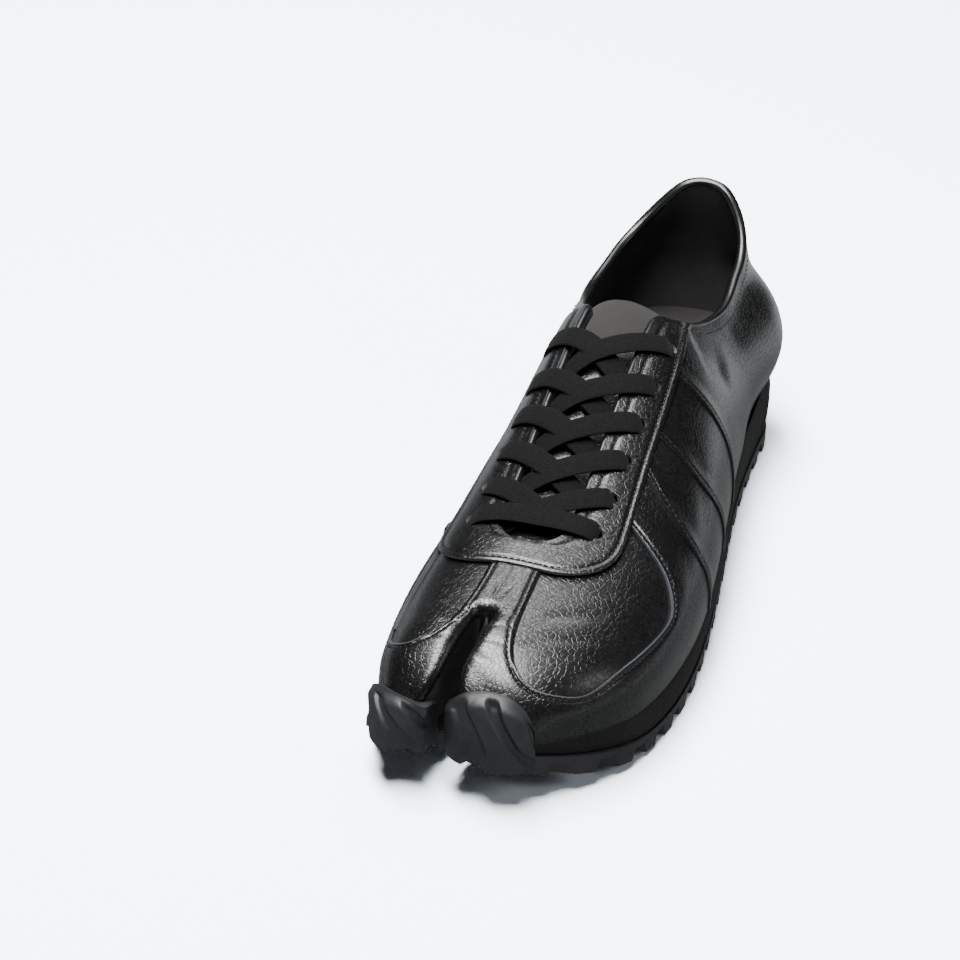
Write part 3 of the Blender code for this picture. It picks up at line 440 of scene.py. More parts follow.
def giveThickness(piece, thick, rimLook=0, innerLook=0, offset=-1.0):
    solid = piece.modifiers.new("thickness", "SOLIDIFY")
    solid.thickness = thick * mm
    solid.offset = offset
    solid.use_even_offset = False
    solid.use_rim = True
    solid.material_offset = innerLook
    solid.material_offset_rim = rimLook


def roundEdges(piece, width, segments=2, angle=50.0):
    soft = piece.modifiers.new("soft edge", "BEVEL")
    soft.width = width * mm
    soft.segments = segments
    soft.limit_method = "ANGLE"
    soft.angle_limit = math.radians(angle)
    soft.profile = 0.5
    soft.harden_normals = True


def bake(piece):
    # Keep the modified shape as the piece's own mesh
    depsgraph = bpy.context.evaluated_depsgraph_get()
    shape = bpy.data.meshes.new_from_object(piece.evaluated_get(depsgraph))
    piece.modifiers.clear()
    piece.data = shape


# Materials
def addNode(tree, kind, **values):
    made = tree.nodes.new(kind)
    for key, value in values.items():
        setattr(made, key, value)
    return made


def join(tree, source, target):
    tree.links.new(source, target)


def newGroup(name, inputs, outputs):
    tree = bpy.data.node_groups.new(name, "ShaderNodeTree")
    for label, kind, value in inputs:
        socket = tree.interface.new_socket(name=label, in_out="INPUT", socket_type=kind)
        if value is not None:
            socket.default_value = value
    for label, kind in outputs:
        tree.interface.new_socket(name=label, in_out="OUTPUT", socket_type=kind)
    return tree, addNode(tree, "NodeGroupInput"), addNode(tree, "NodeGroupOutput")


def mathNode(tree, operation, first, second=None, clamp=False):
    made = addNode(tree, "ShaderNodeMath", operation=operation, use_clamp=clamp)
    for slot, value in zip(made.inputs, (first, second)):
        if value is None:
            continue
        if isinstance(value, (int, float)):
            slot.default_value = value
        else:
            join(tree, value, slot)
    return made.outputs[0]


def mapRange(tree, value, low, high, toLow=0.0, toHigh=1.0):
    made = addNode(tree, "ShaderNodeMapRange", interpolation_type="SMOOTHSTEP")
    join(tree, value, made.inputs["Value"])
    for label, number in (("From Min", low), ("From Max", high), ("To Min", toLow), ("To Max", toHigh)):
        made.inputs[label].default_value = number
    return made.outputs["Result"]


def mixColour(tree, factor, first, second):
    made = addNode(tree, "ShaderNodeMix", data_type="RGBA")
    join(tree, factor, made.inputs[0])
    for slot, value in ((made.inputs[6], first), (made.inputs[7], second)):
        if isinstance(value, tuple):
            slot.default_value = value
        else:
            join(tree, value, slot)
    return made.outputs[2]


def noise(tree, vector, scale, detail=3.0, rough=0.55):
    made = addNode(tree, "ShaderNodeTexNoise")
    join(tree, vector, made.inputs["Vector"])
    if isinstance(scale, (int, float)):
        made.inputs["Scale"].default_value = scale
    else:
        join(tree, scale, made.inputs["Scale"])
    made.inputs["Detail"].default_value = detail
    made.inputs["Roughness"].default_value = rough
    return made.outputs["Fac"]


def makePebbleGrain():
    # Tumbled hide: pebbles parted by fine cracks, larger where the hide is loose. The Crack output is where
    # shade is painted into the cracks
    tree, given, result = newGroup("pebbleGrain", (
        ("Vector", "NodeSocketVector", None), ("Scale", "NodeSocketFloat", 560.0),
        ("Crack Width", "NodeSocketFloat", 0.08)),
        (("Height", "NodeSocketFloat"), ("Crack", "NodeSocketFloat"), ("Tone", "NodeSocketFloat")))
    drift = addNode(tree, "ShaderNodeTexNoise")
    drift.inputs["Scale"].default_value = 240.0
    drift.inputs["Detail"].default_value = 5.0
    join(tree, given.outputs["Vector"], drift.inputs["Vector"])
    shift = addNode(tree, "ShaderNodeVectorMath", operation="MULTIPLY_ADD")
    join(tree, drift.outputs["Color"], shift.inputs[0])
    shift.inputs[1].default_value = (0.0022, 0.0022, 0.0022)
    join(tree, given.outputs["Vector"], shift.inputs[2])
    cells = addNode(tree, "ShaderNodeTexVoronoi", feature="DISTANCE_TO_EDGE")
    join(tree, shift.outputs[0], cells.inputs["Vector"])
    join(tree, given.outputs["Scale"], cells.inputs["Scale"])
    fine = addNode(tree, "ShaderNodeTexVoronoi", feature="DISTANCE_TO_EDGE")
    join(tree, shift.outputs[0], fine.inputs["Vector"])
    join(tree, mathNode(tree, "MULTIPLY", given.outputs["Scale"], 2.3), fine.inputs["Scale"])
    loose = noise(tree, given.outputs["Vector"], 70.0, 2.0)
    plateau = addNode(tree, "ShaderNodeMapRange", interpolation_type="SMOOTHSTEP")
    join(tree, cells.outputs["Distance"], plateau.inputs["Value"])
    plateau.inputs["From Max"].default_value = 0.13
    dome = mapRange(tree, cells.outputs["Distance"], 0.0, 0.45)
    small = mapRange(tree, fine.outputs["Distance"], 0.0, 0.16)
    crackShade = addNode(tree, "ShaderNodeMapRange", interpolation_type="SMOOTHSTEP")
    join(tree, cells.outputs["Distance"], crackShade.inputs["Value"])
    join(tree, given.outputs["Crack Width"], crackShade.inputs["From Max"])
    crackShade.inputs["To Min"].default_value = 1.0
    crackShade.inputs["To Max"].default_value = 0.0
    height = mathNode(tree, "ADD", mathNode(tree, "MULTIPLY", plateau.outputs["Result"], 0.66),
                      mathNode(tree, "MULTIPLY", dome, 0.22))
    height = mathNode(tree, "ADD", height, mathNode(tree, "MULTIPLY", small, 0.14))
    join(tree, height, result.inputs["Height"])
    patchy = mapRange(tree, loose, 0.30, 0.66, 0.40, 0.80)
    join(tree, mathNode(tree, "MULTIPLY", crackShade.outputs["Result"], patchy), result.inputs["Crack"])
    join(tree, loose, result.inputs["Tone"])
    return tree


def makePleats():
    # Fine creases square to the toe slit, from the piece's own map: u round the slit, v away from its edge
    tree, given, result = newGroup("slitPleats", (
        ("Map", "NodeSocketVector", None), ("Pitch", "NodeSocketFloat", 0.0017),
        ("Reach", "NodeSocketFloat", 0.013)),
        (("Height", "NodeSocketFloat"), ("Crack", "NodeSocketFloat"), ("Mask", "NodeSocketFloat")))
    parts = addNode(tree, "ShaderNodeSeparateXYZ")
    join(tree, given.outputs["Map"], parts.inputs[0])
    wander = noise(tree, given.outputs["Map"], 260.0, 2.0)
    along = mathNode(tree, "ADD", parts.outputs["X"], mathNode(tree, "MULTIPLY", wander, 0.0042))
    turns = mathNode(tree, "MULTIPLY", mathNode(tree, "DIVIDE", along, given.outputs["Pitch"]), math.pi)
    puff = mathNode(tree, "ABSOLUTE", mathNode(tree, "SINE", turns))
    near = addNode(tree, "ShaderNodeMapRange", interpolation_type="SMOOTHSTEP")
    join(tree, parts.outputs["Y"], near.inputs["Value"])
    join(tree, given.outputs["Reach"], near.inputs["From Min"])
    near.inputs["From Max"].default_value = 0.002
    patchy = mapRange(tree, noise(tree, given.outputs["Map"], 150.0, 1.0), 0.25, 0.55, 0.25, 1.0)
    mask = mathNode(tree, "MULTIPLY", near.outputs["Result"], patchy)
    join(tree, mapRange(tree, puff, 0.0, 0.42), result.inputs["Height"])
    # Crack darkens the valleys between the pleats: painted shade in the folds
    join(tree, mathNode(tree, "MULTIPLY", mapRange(tree, puff, 0.30, 0.06), mask), result.inputs["Crack"])
    join(tree, mask, result.inputs["Mask"])
    return tree


def makeSpeckle():
    # Fine moulded or woven surface: even grit with slow cloudy change
    tree, given, result = newGroup("fineSpeckle", (
        ("Vector", "NodeSocketVector", None), ("Scale", "NodeSocketFloat", 900.0)),
        (("Grit", "NodeSocketFloat"), ("Cloud", "NodeSocketFloat")))
    join(tree, noise(tree, given.outputs["Vector"], given.outputs["Scale"], 4.0, 0.7), result.inputs["Grit"])
    join(tree, noise(tree, given.outputs["Vector"], 38.0, 3.0), result.inputs["Cloud"])
    return tree


groups = {"grain": makePebbleGrain(), "pleats": makePleats(), "speckle": makeSpeckle()}


def startMaterial(name, rough, coat=0.0, coatRough=0.3, sheen=0.0):
    made = bpy.data.materials.new(name)
    made.use_nodes = True
    tree = made.node_tree
    shader = tree.nodes["Principled BSDF"]
    shader.inputs["Roughness"].default_value = rough
    shader.inputs["Coat Weight"].default_value = coat
    shader.inputs["Coat Roughness"].default_value = coatRough
    shader.inputs["Sheen Weight"].default_value = sheen
    where = addNode(tree, "ShaderNodeTexCoord")
    return made, tree, shader, where


def useGroup(tree, key, **values):
    made = addNode(tree, "ShaderNodeGroup")
    made.node_tree = groups[key]
    for label, value in values.items():
        made.inputs[label.replace("_", " ")].default_value = value
    return made


def bump(tree, shader, height, strength, distance):
    made = addNode(tree, "ShaderNodeBump")
    made.inputs["Strength"].default_value = strength
    made.inputs["Distance"].default_value = distance
    join(tree, height, made.inputs["Height"])
    join(tree, made.outputs["Normal"], shader.inputs["Normal"])


# finish is the satin coat on the pebbles, and crackFinish the share of it that is left in the cracks
# The crack colour is painted shade: the darker colour laid into the cracks between pebbles
leatherLook = {"dark": (0.0030, 0.0030, 0.0033, 1.0), "light": (0.0085, 0.0085, 0.009, 1.0),
               "crackShade": (0.0008, 0.0008, 0.0008, 1.0), "rough": (0.22, 0.27), "scale": 480.0,
               "depth": 0.00030, "strength": 0.42, "gloss": 0.38, "pleatHeight": 0.85,
               "finish": 0.8, "crackFinish": 0.40, "finishRough": 0.30}


def leather(name, scale=1.0, strength=1.0, pleats=False, dark=leatherLook["dark"], light=leatherLook["light"],
            rough=leatherLook["rough"]):
    made, tree, shader, where = startMaterial(name, rough[0], coatRough=leatherLook["finishRough"])
    shader.inputs["Specular IOR Level"].default_value = leatherLook["gloss"]
    grain = useGroup(tree, "grain", Scale=leatherLook["scale"] * scale)
    join(tree, where.outputs["Object"], grain.inputs["Vector"])
    height = grain.outputs["Height"]
    crackShade = grain.outputs["Crack"]
    if pleats:
        folds = useGroup(tree, "pleats")
        join(tree, where.outputs["UV"], folds.inputs["Map"])
        share = folds.outputs["Mask"]
        left = mathNode(tree, "SUBTRACT", 1.0, mathNode(tree, "MULTIPLY", share, 0.5))
        folded = mathNode(tree, "MULTIPLY", folds.outputs["Height"], share)
        height = mathNode(tree, "ADD", mathNode(tree, "MULTIPLY", height, left),
                          mathNode(tree, "MULTIPLY", folded, leatherLook["pleatHeight"]))
        crackShade = mathNode(tree, "MAXIMUM", crackShade, folds.outputs["Crack"])
    cloudy = mixColour(tree, grain.outputs["Tone"], dark, light)
    # Painted shade: the base colour is darkened in the cracks and pleat folds
    join(tree, mixColour(tree, crackShade, cloudy, leatherLook["crackShade"]), shader.inputs["Base Color"])
    join(tree, mapRange(tree, grain.outputs["Tone"], 0.3, 0.7, *rough), shader.inputs["Roughness"])
    # The satin finish lies on the pebbles and thins out in the cracks
    finish = leatherLook["finish"]
    join(tree, mapRange(tree, crackShade, 0.05, 1.0, finish, finish * leatherLook["crackFinish"]),
         shader.inputs["Coat Weight"])
    bump(tree, shader, height, leatherLook["strength"] * strength, leatherLook["depth"])
    return made


def plainLook(name, dark, light, rough, scale, strength, distance, sheen=0.0, coat=0.0):
    made, tree, shader, where = startMaterial(name, rough[0], coat=coat, sheen=sheen)
    grit = useGroup(tree, "speckle", Scale=scale)
    join(tree, where.outputs["Object"], grit.inputs["Vector"])
    join(tree, mixColour(tree, mapRange(tree, grit.outputs["Cloud"], 0.3, 0.7), dark, light),
         shader.inputs["Base Color"])
    join(tree, mapRange(tree, grit.outputs["Grit"], 0.3, 0.7, rough[0], rough[1]), shader.inputs["Roughness"])
    bump(tree, shader, grit.outputs["Grit"], strength, distance)
    return made


def lacing(name):
    # Flat woven tape: ribs along its length, picks across, from the tape's own map
    made, tree, shader, where = startMaterial(name, 0.85, sheen=0.02)
    shader.inputs["Sheen Roughness"].default_value = 0.5
    shader.inputs["Specular IOR Level"].default_value = 0.2
    parts = addNode(tree, "ShaderNodeSeparateXYZ")
    join(tree, where.outputs["UV"], parts.inputs[0])
    ribs = mathNode(tree, "SINE", mathNode(tree, "MULTIPLY", parts.outputs["Y"], 2 * math.pi / 0.00095))
    picks = mathNode(tree, "SINE", mathNode(tree, "MULTIPLY", parts.outputs["X"], 2 * math.pi / 0.0007))
    grit = useGroup(tree, "speckle", Scale=1500.0)
    join(tree, where.outputs["Object"], grit.inputs["Vector"])
    weave = mathNode(tree, "MULTIPLY", mathNode(tree, "ADD", ribs, picks), 0.3)
    weave = mathNode(tree, "ADD", weave, mathNode(tree, "MULTIPLY", grit.outputs["Grit"], 1.6))
    tone = mapRange(tree, weave, 0.2, 1.5)
    join(tree, mixColour(tree, tone, (0.0005, 0.0005, 0.0006, 1.0), (0.0026, 0.0026, 0.0028, 1.0)),
         shader.inputs["Base Color"])
    join(tree, mapRange(tree, grit.outputs["Grit"], 0.3, 0.7, 0.75, 0.95), shader.inputs["Roughness"])
    bump(tree, shader, weave, 0.45, 0.00025)
    return made


looks = {
    "leather": leather("pebbled leather"),
    "guard": leather("pebbled leather creased", pleats=True),
    "smooth": leather("smooth leather", scale=1.6, strength=0.3, rough=(0.24, 0.34)),
    "lining": plainLook("black lining", (0.030, 0.030, 0.032, 1.0), (0.046, 0.046, 0.050, 1.0), (0.50, 0.62),
                        1400.0, 0.15, 0.0001),
    "slitWall": plainLook("slit lining", (0.030, 0.030, 0.032, 1.0), (0.042, 0.042, 0.045, 1.0), (0.60, 0.75),
                          1600.0, 0.2, 0.0001),
    "edge": plainLook("cut leather edge", (0.050, 0.055, 0.063, 1.0), (0.105, 0.115, 0.130, 1.0),
                      (0.40, 0.60), 1800.0, 0.5, 0.00015),
    "seamEdge": plainLook("dyed leather edge", (0.008, 0.008, 0.009, 1.0), (0.020, 0.021, 0.023, 1.0),
                          (0.40, 0.60), 1800.0, 0.4, 0.00012),
    "thread": plainLook("waxed thread", (0.005, 0.005, 0.006, 1.0), (0.012, 0.012, 0.013, 1.0), (0.34, 0.50),
                        3000.0, 0.3, 0.00008),
    "foam": plainLook("moulded foam", (0.005, 0.005, 0.0055, 1.0), (0.009, 0.009, 0.010, 1.0), (0.62, 0.80),
                      1500.0, 0.35, 0.00018),
    "rubber": plainLook("moulded rubber", (0.0145, 0.0152, 0.017, 1.0), (0.021, 0.022, 0.0245, 1.0),
                        (0.38, 0.52), 1100.0, 0.15, 0.0001),
    "taupe": plainLook("taupe microfibre", (0.0122, 0.0109, 0.0096, 1.0), (0.0162, 0.0145, 0.0129, 1.0),
                       (0.80, 0.95), 2600.0, 0.4, 0.00015, sheen=0.15),
    "taupeDark": plainLook("taupe insole", (0.017, 0.0146, 0.0133, 1.0), (0.024, 0.021, 0.0192, 1.0),
                           (0.80, 0.95), 2600.0, 0.4, 0.00015, sheen=0.15),
    "cotton": lacing("black cotton"),
}
print("materials:", len(looks))

# Upper: one hollow wall, leather outside, black lining inside, with the web that closes the slit end
upperShape = {"rows": 190, "columns": 70, "webColumns": 7, "slitRows": 60}


def makeUpper():
    bm = bmesh.new()
    floors = {}
    webEnd = lastShape["slitEnd"] + lastShape["slitRun"] + 4.0
    webWalks = walkOf(np.linspace(lastShape["slitEnd"], webEnd, 24), lateral)
    for side in sides:
        close = np.linspace(slitWalk - 6.0, slitWalk + 24.0, upperShape["slitRows"])
        walks = np.unique(np.concatenate([np.linspace(0, walkEnd, upperShape["rows"]), close]))
        walk, part = np.meshgrid(walks, np.linspace(0, 1, upperShape["columns"]), indexing="ij")
        addSkin(bm, side, walk, part * openAt(side, walk), 0.0)
        stations = [stationOf(value, lateral) for value in webWalks]
        floors[side] = skinAt(side, walkOf(stations, side), np.ones(len(stations)))[0]
    part = np.linspace(0, 1, upperShape["webColumns"])[None, :, None]
    web = floors[medial][:, None] * (1 - part) + floors[lateral][:, None] * part
    _, faces = addSheet(bm, toFrame(web), np.broadcast_to((0.0, 0.0, 1.0), web.shape))
    for face in faces:
        face.material_index = 3
    weld(bm, 0.00006)
    wallLooks = [looks[name] for name in ("leather", "lining", "seamEdge", "slitWall", "lining", "seamEdge")]
    piece = newPiece("upper_wall", bm, wallLooks, ("upper",))
    giveThickness(piece, lastShape["wall"], rimLook=2, innerLook=1)
    return piece


makeUpper()
print("upper made")

# Overlays lie on the wall. Each rear piece laps over the one ahead of it, the eyestay over all.
# Top faces lie "rest" above the wall, and the front edges "lap" above the piece ahead.
overlay = {"thick": 1.2, "rest": 0.85, "step": 0.8, "lap": 5.0, "lapRun": 9.0, "edge": 0.25,
           "groove": 0.42, "grooveAt": 2.0, "grooveWidth": 0.6, "edgeDip": 0.22, "seamGroove": 0.7,
           "panelGrid": (56, 60), "quarterGrid": (150, 56)}
eyestayShape = {"columns": ("s", "half"),
                "edge": ((60.0, 21.0), (92.0, 22.0), (122.0, 25.6), (150.0, 27.5), (182.0, 28.8),
                         (208.0, 30.5)),
                "front": 231.0, "corner": 20.0, "start": 84.0, "rows": 220, "columnsAcross": 12,
                "lift": 2.2, "throatLift": 1.5, "throatStitch": 3.6,
                "throatColumns": (0.0, 0.8, 1.6, 2.2, 2.8, 3.4, 4.0, 4.8)}
eyestayHalf = splines(eyestayShape["columns"], eyestayShape["edge"])["half"]
seamColumns = ("z", "first", "second", "third")
seamRows = ((10.0, 112.0, 143.0, 180.0), (26.0, 117.0, 147.5, 183.0), (38.0, 120.5, 152.0, 186.0),
            (50.0, 123.5, 157.5, 187.0), (60.0, 126.0, 160.0, 181.0), (68.0, 128.0, 159.5, 172.0),
            (80.0, 131.0, 155.0, 160.0), (100.0, 136.0, 148.0, 150.0))
seams = splines(seamColumns, seamRows)


def eyestayReach(s, grow=0.0):
    # Half width of the eyestay with its rounded front corners
    shape = eyestayShape
    fall = np.clip((s - (shape["front"] + grow - shape["corner"])) / shape["corner"], 0.0, 1.0)
    return eyestayHalf(s) + grow - shape["corner"] * (1 - np.sqrt(1 - fall ** 2))


def topOf(side, walk, under=0.0):
    # Upper limit of a side panel: the collar, or a little way under the eyestay
    walk = np.asarray(walk, float)
    flat = walk.ravel()
    out = openAt(side, flat)
    for k, value in enumerate(flat):
        s = stationOf(value, side)
        if eyestayShape["start"] - 10 < s < eyestayShape["front"]:
            reach = float(eyestayReach(np.float64(s))) - under
            out[k] = min(out[k], float(girthAtAcross(side, value, max(reach, 0.0))))
    return out.reshape(walk.shape)


topLimits = {}
for side in sides:
    topLimits[side] = topOf(side, np.arange(int(walkEnd) + 1, dtype=float), overlay["lap"])


def panelTop(side, walk):
    return np.interp(walk, np.arange(int(walkEnd) + 1), topLimits[side])


def seamRowsAt(part, close=2.0):
    # Rows gathered towards the front edge so that its groove is drawn cleanly
    return 1 - (1 - part) ** close


def seamGrid(side, rear, front, rows, columns):
    # Walk and girth between two seams, which lean with height
    u, v = np.meshgrid(seamRowsAt(np.linspace(0, 1, rows)), np.linspace(0, 1, columns), indexing="ij")
    walk = np.full(u.shape, 150.0)
    for _ in range(14):
        g = v * panelTop(side, walk)
        z = blendRows("points", side, walk, g)[..., 2]
        walk = rear(z) * (1 - u) + front(z) * u
    return walk, v * panelTop(side, walk)


def seamWalk(name, side, shift=0.0):
    return lambda z: walkOf(seams[name](z) + shift, side)


def grooveAt(distance):
    # Stitch line pressed into a piece along its edge, and the edge itself rolled down a little
    pressed = np.exp(-((distance - overlay["grooveAt"]) / overlay["grooveWidth"]) ** 2)
    return -overlay["groove"] * pressed - overlay["edgeDip"] * np.exp(-(distance / 0.7) ** 2)


def edgeColumns(length, head, count, tail=(0.0,)):
    # Distances across a strip: close together along its edges, even between
    length = np.asarray(length, float)[:, None]
    head = np.array(head)[None, :]
    tail = np.array(tail)[None, ::-1]
    fit = np.minimum(1.0, 0.45 * length / max(head.max(), tail.max()))
    first = head * fit
    final = length - tail * fit
    part = np.linspace(0, 1, count + 2)[1:-1][None, :]
    return np.concatenate([first, first[:, -1:] + (final[:, :1] - first[:, -1:]) * part, final], 1)


rimColumns = (0.0, 0.4, 0.8, 1.2, 1.5, 1.8, 2.1, 2.4, 2.8, 3.3, 4.0, 5.0)
seamedLooks = (looks["leather"], looks["seamEdge"])


def lapLift(walk, edge):
    # Raised over the neighbour along the front edge, down on the wall behind it
    return overlay["rest"] + overlay["step"] * ease(1 - (edge - walk) / overlay["lapRun"])


def finishOverlay(name, bm, looksUsed, node, edge=None):
    weld(bm)
    piece = newPiece(name, bm, looksUsed, (node,))
    giveThickness(piece, overlay["thick"], rimLook=1)
    roundEdges(piece, overlay["edge"] if edge is None else edge)
    return piece


def makeSidePanel(side, word, place, front, rear):
    bm = bmesh.new()
    walk, g = seamGrid(side, seamWalk(rear, side, -overlay["lap"]), seamWalk(front, side),
                       *overlay["panelGrid"])
    edge = walk[-1][None, :]
    addSkin(bm, side, walk, g, lapLift(walk, edge) + overlay["seamGroove"] * grooveAt(edge - walk))
    return finishOverlay("panel_" + place + "_" + word, bm, seamedLooks,
                         "side_panel_" + place + "_" + word)


for side, word in ((medial, "medial"), (lateral, "lateral")):
    makeSidePanel(side, word, "front", "third", "second")
    makeSidePanel(side, word, "rear", "second", "first")


def makeHeelQuarter():
    bm = bmesh.new()
    for side in sides:
        walk, g = seamGrid(side, lambda z: 0.0 * z, seamWalk("first", side), *overlay["quarterGrid"])
        edge = walk[-1][None, :]
        addSkin(bm, side, walk, g, lapLift(walk, edge) + overlay["seamGroove"] * grooveAt(edge - walk))
    return finishOverlay("quarter", bm, seamedLooks, "heel_quarter")


makeHeelQuarter()

heelTabShape = {"columns": ("s", "z"),
                "edge": ((-6.0, 79.0), (8.0, 79.5), (20.0, 81.5), (30.0, 86.0), (36.0, 96.0)),
                "end": 39.0, "fadeFrom": 16.0, "fadeRun": 14.0, "rows": 44, "columnsAcross": 20}
heelTabZ = splines(heelTabShape["columns"], heelTabShape["edge"])["z"]


def tabLower(side, walk):
    # Lower edge of the heel tab as a girth fraction
    low = []
    for value in np.ravel(walk):
        row = rowOf(side, value)
        above = row[:, 2] - heelTabZ(row[:, 1])
        low.append(np.interp(0.0, above, girthSteps))
    return np.array(low).reshape(np.shape(walk))


def makeHeelTab():
    bm = bmesh.new()
    for side in sides:
        walks = np.linspace(0, heelTabShape["end"], heelTabShape["rows"])
        high = openAt(side, walks)
        low = np.minimum(tabLower(side, walks), high - 0.002)
        size = lengthAt(side, walks)
        away = edgeColumns((high - low) * size, rimColumns, heelTabShape["columnsAcross"])
        g = low[:, None] + away / size[:, None]
        walk = np.broadcast_to(walks[:, None], g.shape)
        part = (g - low[:, None]) / (high - low)[:, None]
        fade = walks - heelTabShape["end"] + heelTabShape["fadeFrom"]
        ending = ease(fade / heelTabShape["fadeRun"])[:, None]
        raised = overlay["step"] * (1 - 0.8 * part) * (1 - ending)
        pressed = overlay["seamGroove"] * grooveAt(away) * (1 - ending)
        addSkin(bm, side, walk, g, overlay["rest"] + 0.02 + raised + pressed)
    return finishOverlay("back_tab", bm, seamedLooks, "heel_tab")


makeHeelTab()
print("quarters and heel tab made")


def eyestayGrid(side, grow=0.0):
    shape = eyestayShape
    turn = np.linspace(0, 1, shape["rows"])
    stations = shape["start"] + (shape["front"] + grow - shape["start"]) * (1 - (1 - turn) ** 1.35)
    walks = walkOf(stations, side)
    outer = girthAtAcross(side, walks, np.maximum(eyestayReach(stations, grow), 0.0))
    inner = openAt(side, walks)
    keep = outer < inner - 0.004
    return stations[keep], walks[keep], outer[keep], inner[keep]


eyeletShape = {"rows": (209.0, 192.5, 175.5, 159.0, 142.0, 121.0), "across": 21.0, "radius": 2.3}


def eyeletPlace(side, row, lift):
    walk = walkOf(eyeletShape["rows"][row], side)
    g = girthAtAcross(side, walk, eyeletShape["across"])
    point, normal = skinAt(side, walk, g, lift)
    return toFrame(point), turnToFrame(normal)


def eyestayEdge(stations, acrosses):
    # Distance in plan from the eyestay's outer edge and front
    shape = eyestayShape
    ahead = np.maximum(stations - (shape["front"] - shape["corner"]), 0.0)
    beside = np.maximum(acrosses - (eyestayHalf(stations) - shape["corner"]), 0.0)
    return shape["corner"] - np.hypot(ahead, beside)


def eyestayLift(side, walk, g, inner):
    # Height of the eyestay's face, lower at the throat, with the stitch grooves along both edges
    shape = eyestayShape
    points = blendRows("points", side, walk, g)
    stations = points[..., 1]
    outside = eyestayEdge(stations, side * (points[..., 0] - last["ridgeX"](stations)))
    inside = (inner - g) * lengthAt(side, walk)
    atThroat = ease((lastShape["throatFront"] + 2.0 - stations) / 4.0)
    lift = shape["lift"] + (shape["throatLift"] - shape["lift"]) * ease(1 - inside / 9.0) * atThroat
    throatGroove = -overlay["groove"] * np.exp(-((inside - shape["throatStitch"]) / 0.6) ** 2) * atThroat
    return lift + grooveAt(outside) + throatGroove


def makeEyestay():
    bm = bmesh.new()
    shape = eyestayShape
    for side in sides:
        _, walks, outer, inner = eyestayGrid(side)
        size = lengthAt(side, walks)
        away = edgeColumns((inner - outer) * size, rimColumns, shape["columnsAcross"], shape["throatColumns"])
        g = outer[:, None] + away / size[:, None]
        walk = np.broadcast_to(walks[:, None], g.shape)
        addSkin(bm, side, walk, g, eyestayLift(side, walk, g, inner[:, None]))
    weld(bm)
    # Punched eyelets: open the faces round each centre and draw the rim onto a circle
    for side in sides:
        for row in range(len(eyeletShape["rows"])):
            centre = Vector(eyeletPlace(side, row, shape["lift"])[0])
            radius = eyeletShape["radius"] * mm
            hole = [face for face in bm.faces if (face.calc_center_median() - centre).length < radius * 0.92]
            bmesh.ops.delete(bm, geom=hole, context="FACES")
            rim = [vert for vert in bm.verts if vert.is_boundary and (vert.co - centre).length < radius * 1.7]
            for vert in rim:
                away = vert.co - centre
                vert.co = centre + away.normalized() * radius
    return finishOverlay("eyestay_facing", bm, (looks["leather"], looks["edge"]), "eyestay")


makeEyestay()
print("eyestay made")

# Toe guard: the strip along the slit, the toe and the outer band in one piece round each vamp window.
# Window places are x and station; stops are the window's points that face the corners of the guard.
guardShape = {
    "window": {
        medial: ((-14.0, 225.0), (-14.6, 238.0), (-16.2, 250.0), (-19.0, 260.0), (-23.5, 266.0),
                 (-29.0, 268.8), (-34.0, 267.0), (-38.0, 261.0), (-39.6, 252.0), (-38.6, 240.0),
                 (-37.0, 225.0), (-36.0, 212.0), (-35.0, 200.0), (-25.0, 200.0)),
        lateral: ((3.6, 225.0), (3.2, 246.0), (4.0, 262.0), (7.5, 271.0), (14.5, 275.0),
                  (24.0, 271.5), (32.5, 262.5), (40.5, 243.0), (44.8, 224.0), (44.2, 215.0),
                  (40.0, 208.5), (33.0, 203.5), (24.0, 198.0)),
    },
    "stops": {medial: (0.25, 1.6, 4.2, 6.0, 10.6, 11.7), lateral: (0.17, 1.0, 3.0, 4.8, 8.6, 11.9)},
    "steps": (20, 60, 24, 110, 44), "start": 228.5, "columns": 36, "fanRadius": 6.0,
    "top": 1.3, "slitTop": 0.15, "slitRamp": 4.5, "stripRows": 70, "stripRoll": 0.75, "paleHighlightColumns": 1,
}


def windowCurve(side):
    points = np.array(guardShape["window"][side])
    along = np.arange(len(points))
    xs = naturalSpline(along, points[:, 0])
    ss = naturalSpline(along, points[:, 1])
    return lambda k: (xs(k), ss(k))


def windowEdge(side, k):
    # Walk and girth of the window's rim
    x, s = windowCurve(side)(k)
    walk = walkOf(s, side)
    return walk, girthAtAcross(side, walk, side * (x - last["ridgeX"](s)))


def guardRims(side):
    # Matching points on the window's rim and on the guard's outer border
    shape = guardShape
    stops = list(shape["stops"][side])
    along = np.linspace(0, 3, 301)
    stops[1] = float(np.interp(lastShape["slitEnd"], windowCurve(side)(along)[1], along))
    start = float(walkOf(shape["start"], side))
    foot = float(seamWalk("third", side)(24.0))
    corners = ((start, 1.0), (slitWalk, 1.0), (walkEnd, 1.0), (walkEnd, 0.0), (foot, 0.0))
    inner = []
    outer = []
    for k, steps in enumerate(shape["steps"]):
        part = np.linspace(0, 1, steps + 1)[(1 if k else 0):]
        walk, g = windowEdge(side, stops[k] + (stops[k + 1] - stops[k]) * part)
        inner.append(np.stack([walk, g], -1))
        if k < 4:
            a = np.array(corners[k])
            b = np.array(corners[k + 1])
            outer.append(a + (b - a) * part[:, None])
        else:
            walk = np.full(part.shape, foot)
            for _ in range(12):
                g = part * panelTop(side, walk)
                walk = seamWalk("third", side, -overlay["lap"])(blendRows("points", side, walk, g)[..., 2])
            outer.append(np.stack([walk, part * panelTop(side, walk)], -1))
    return np.concatenate(inner), np.concatenate(outer)


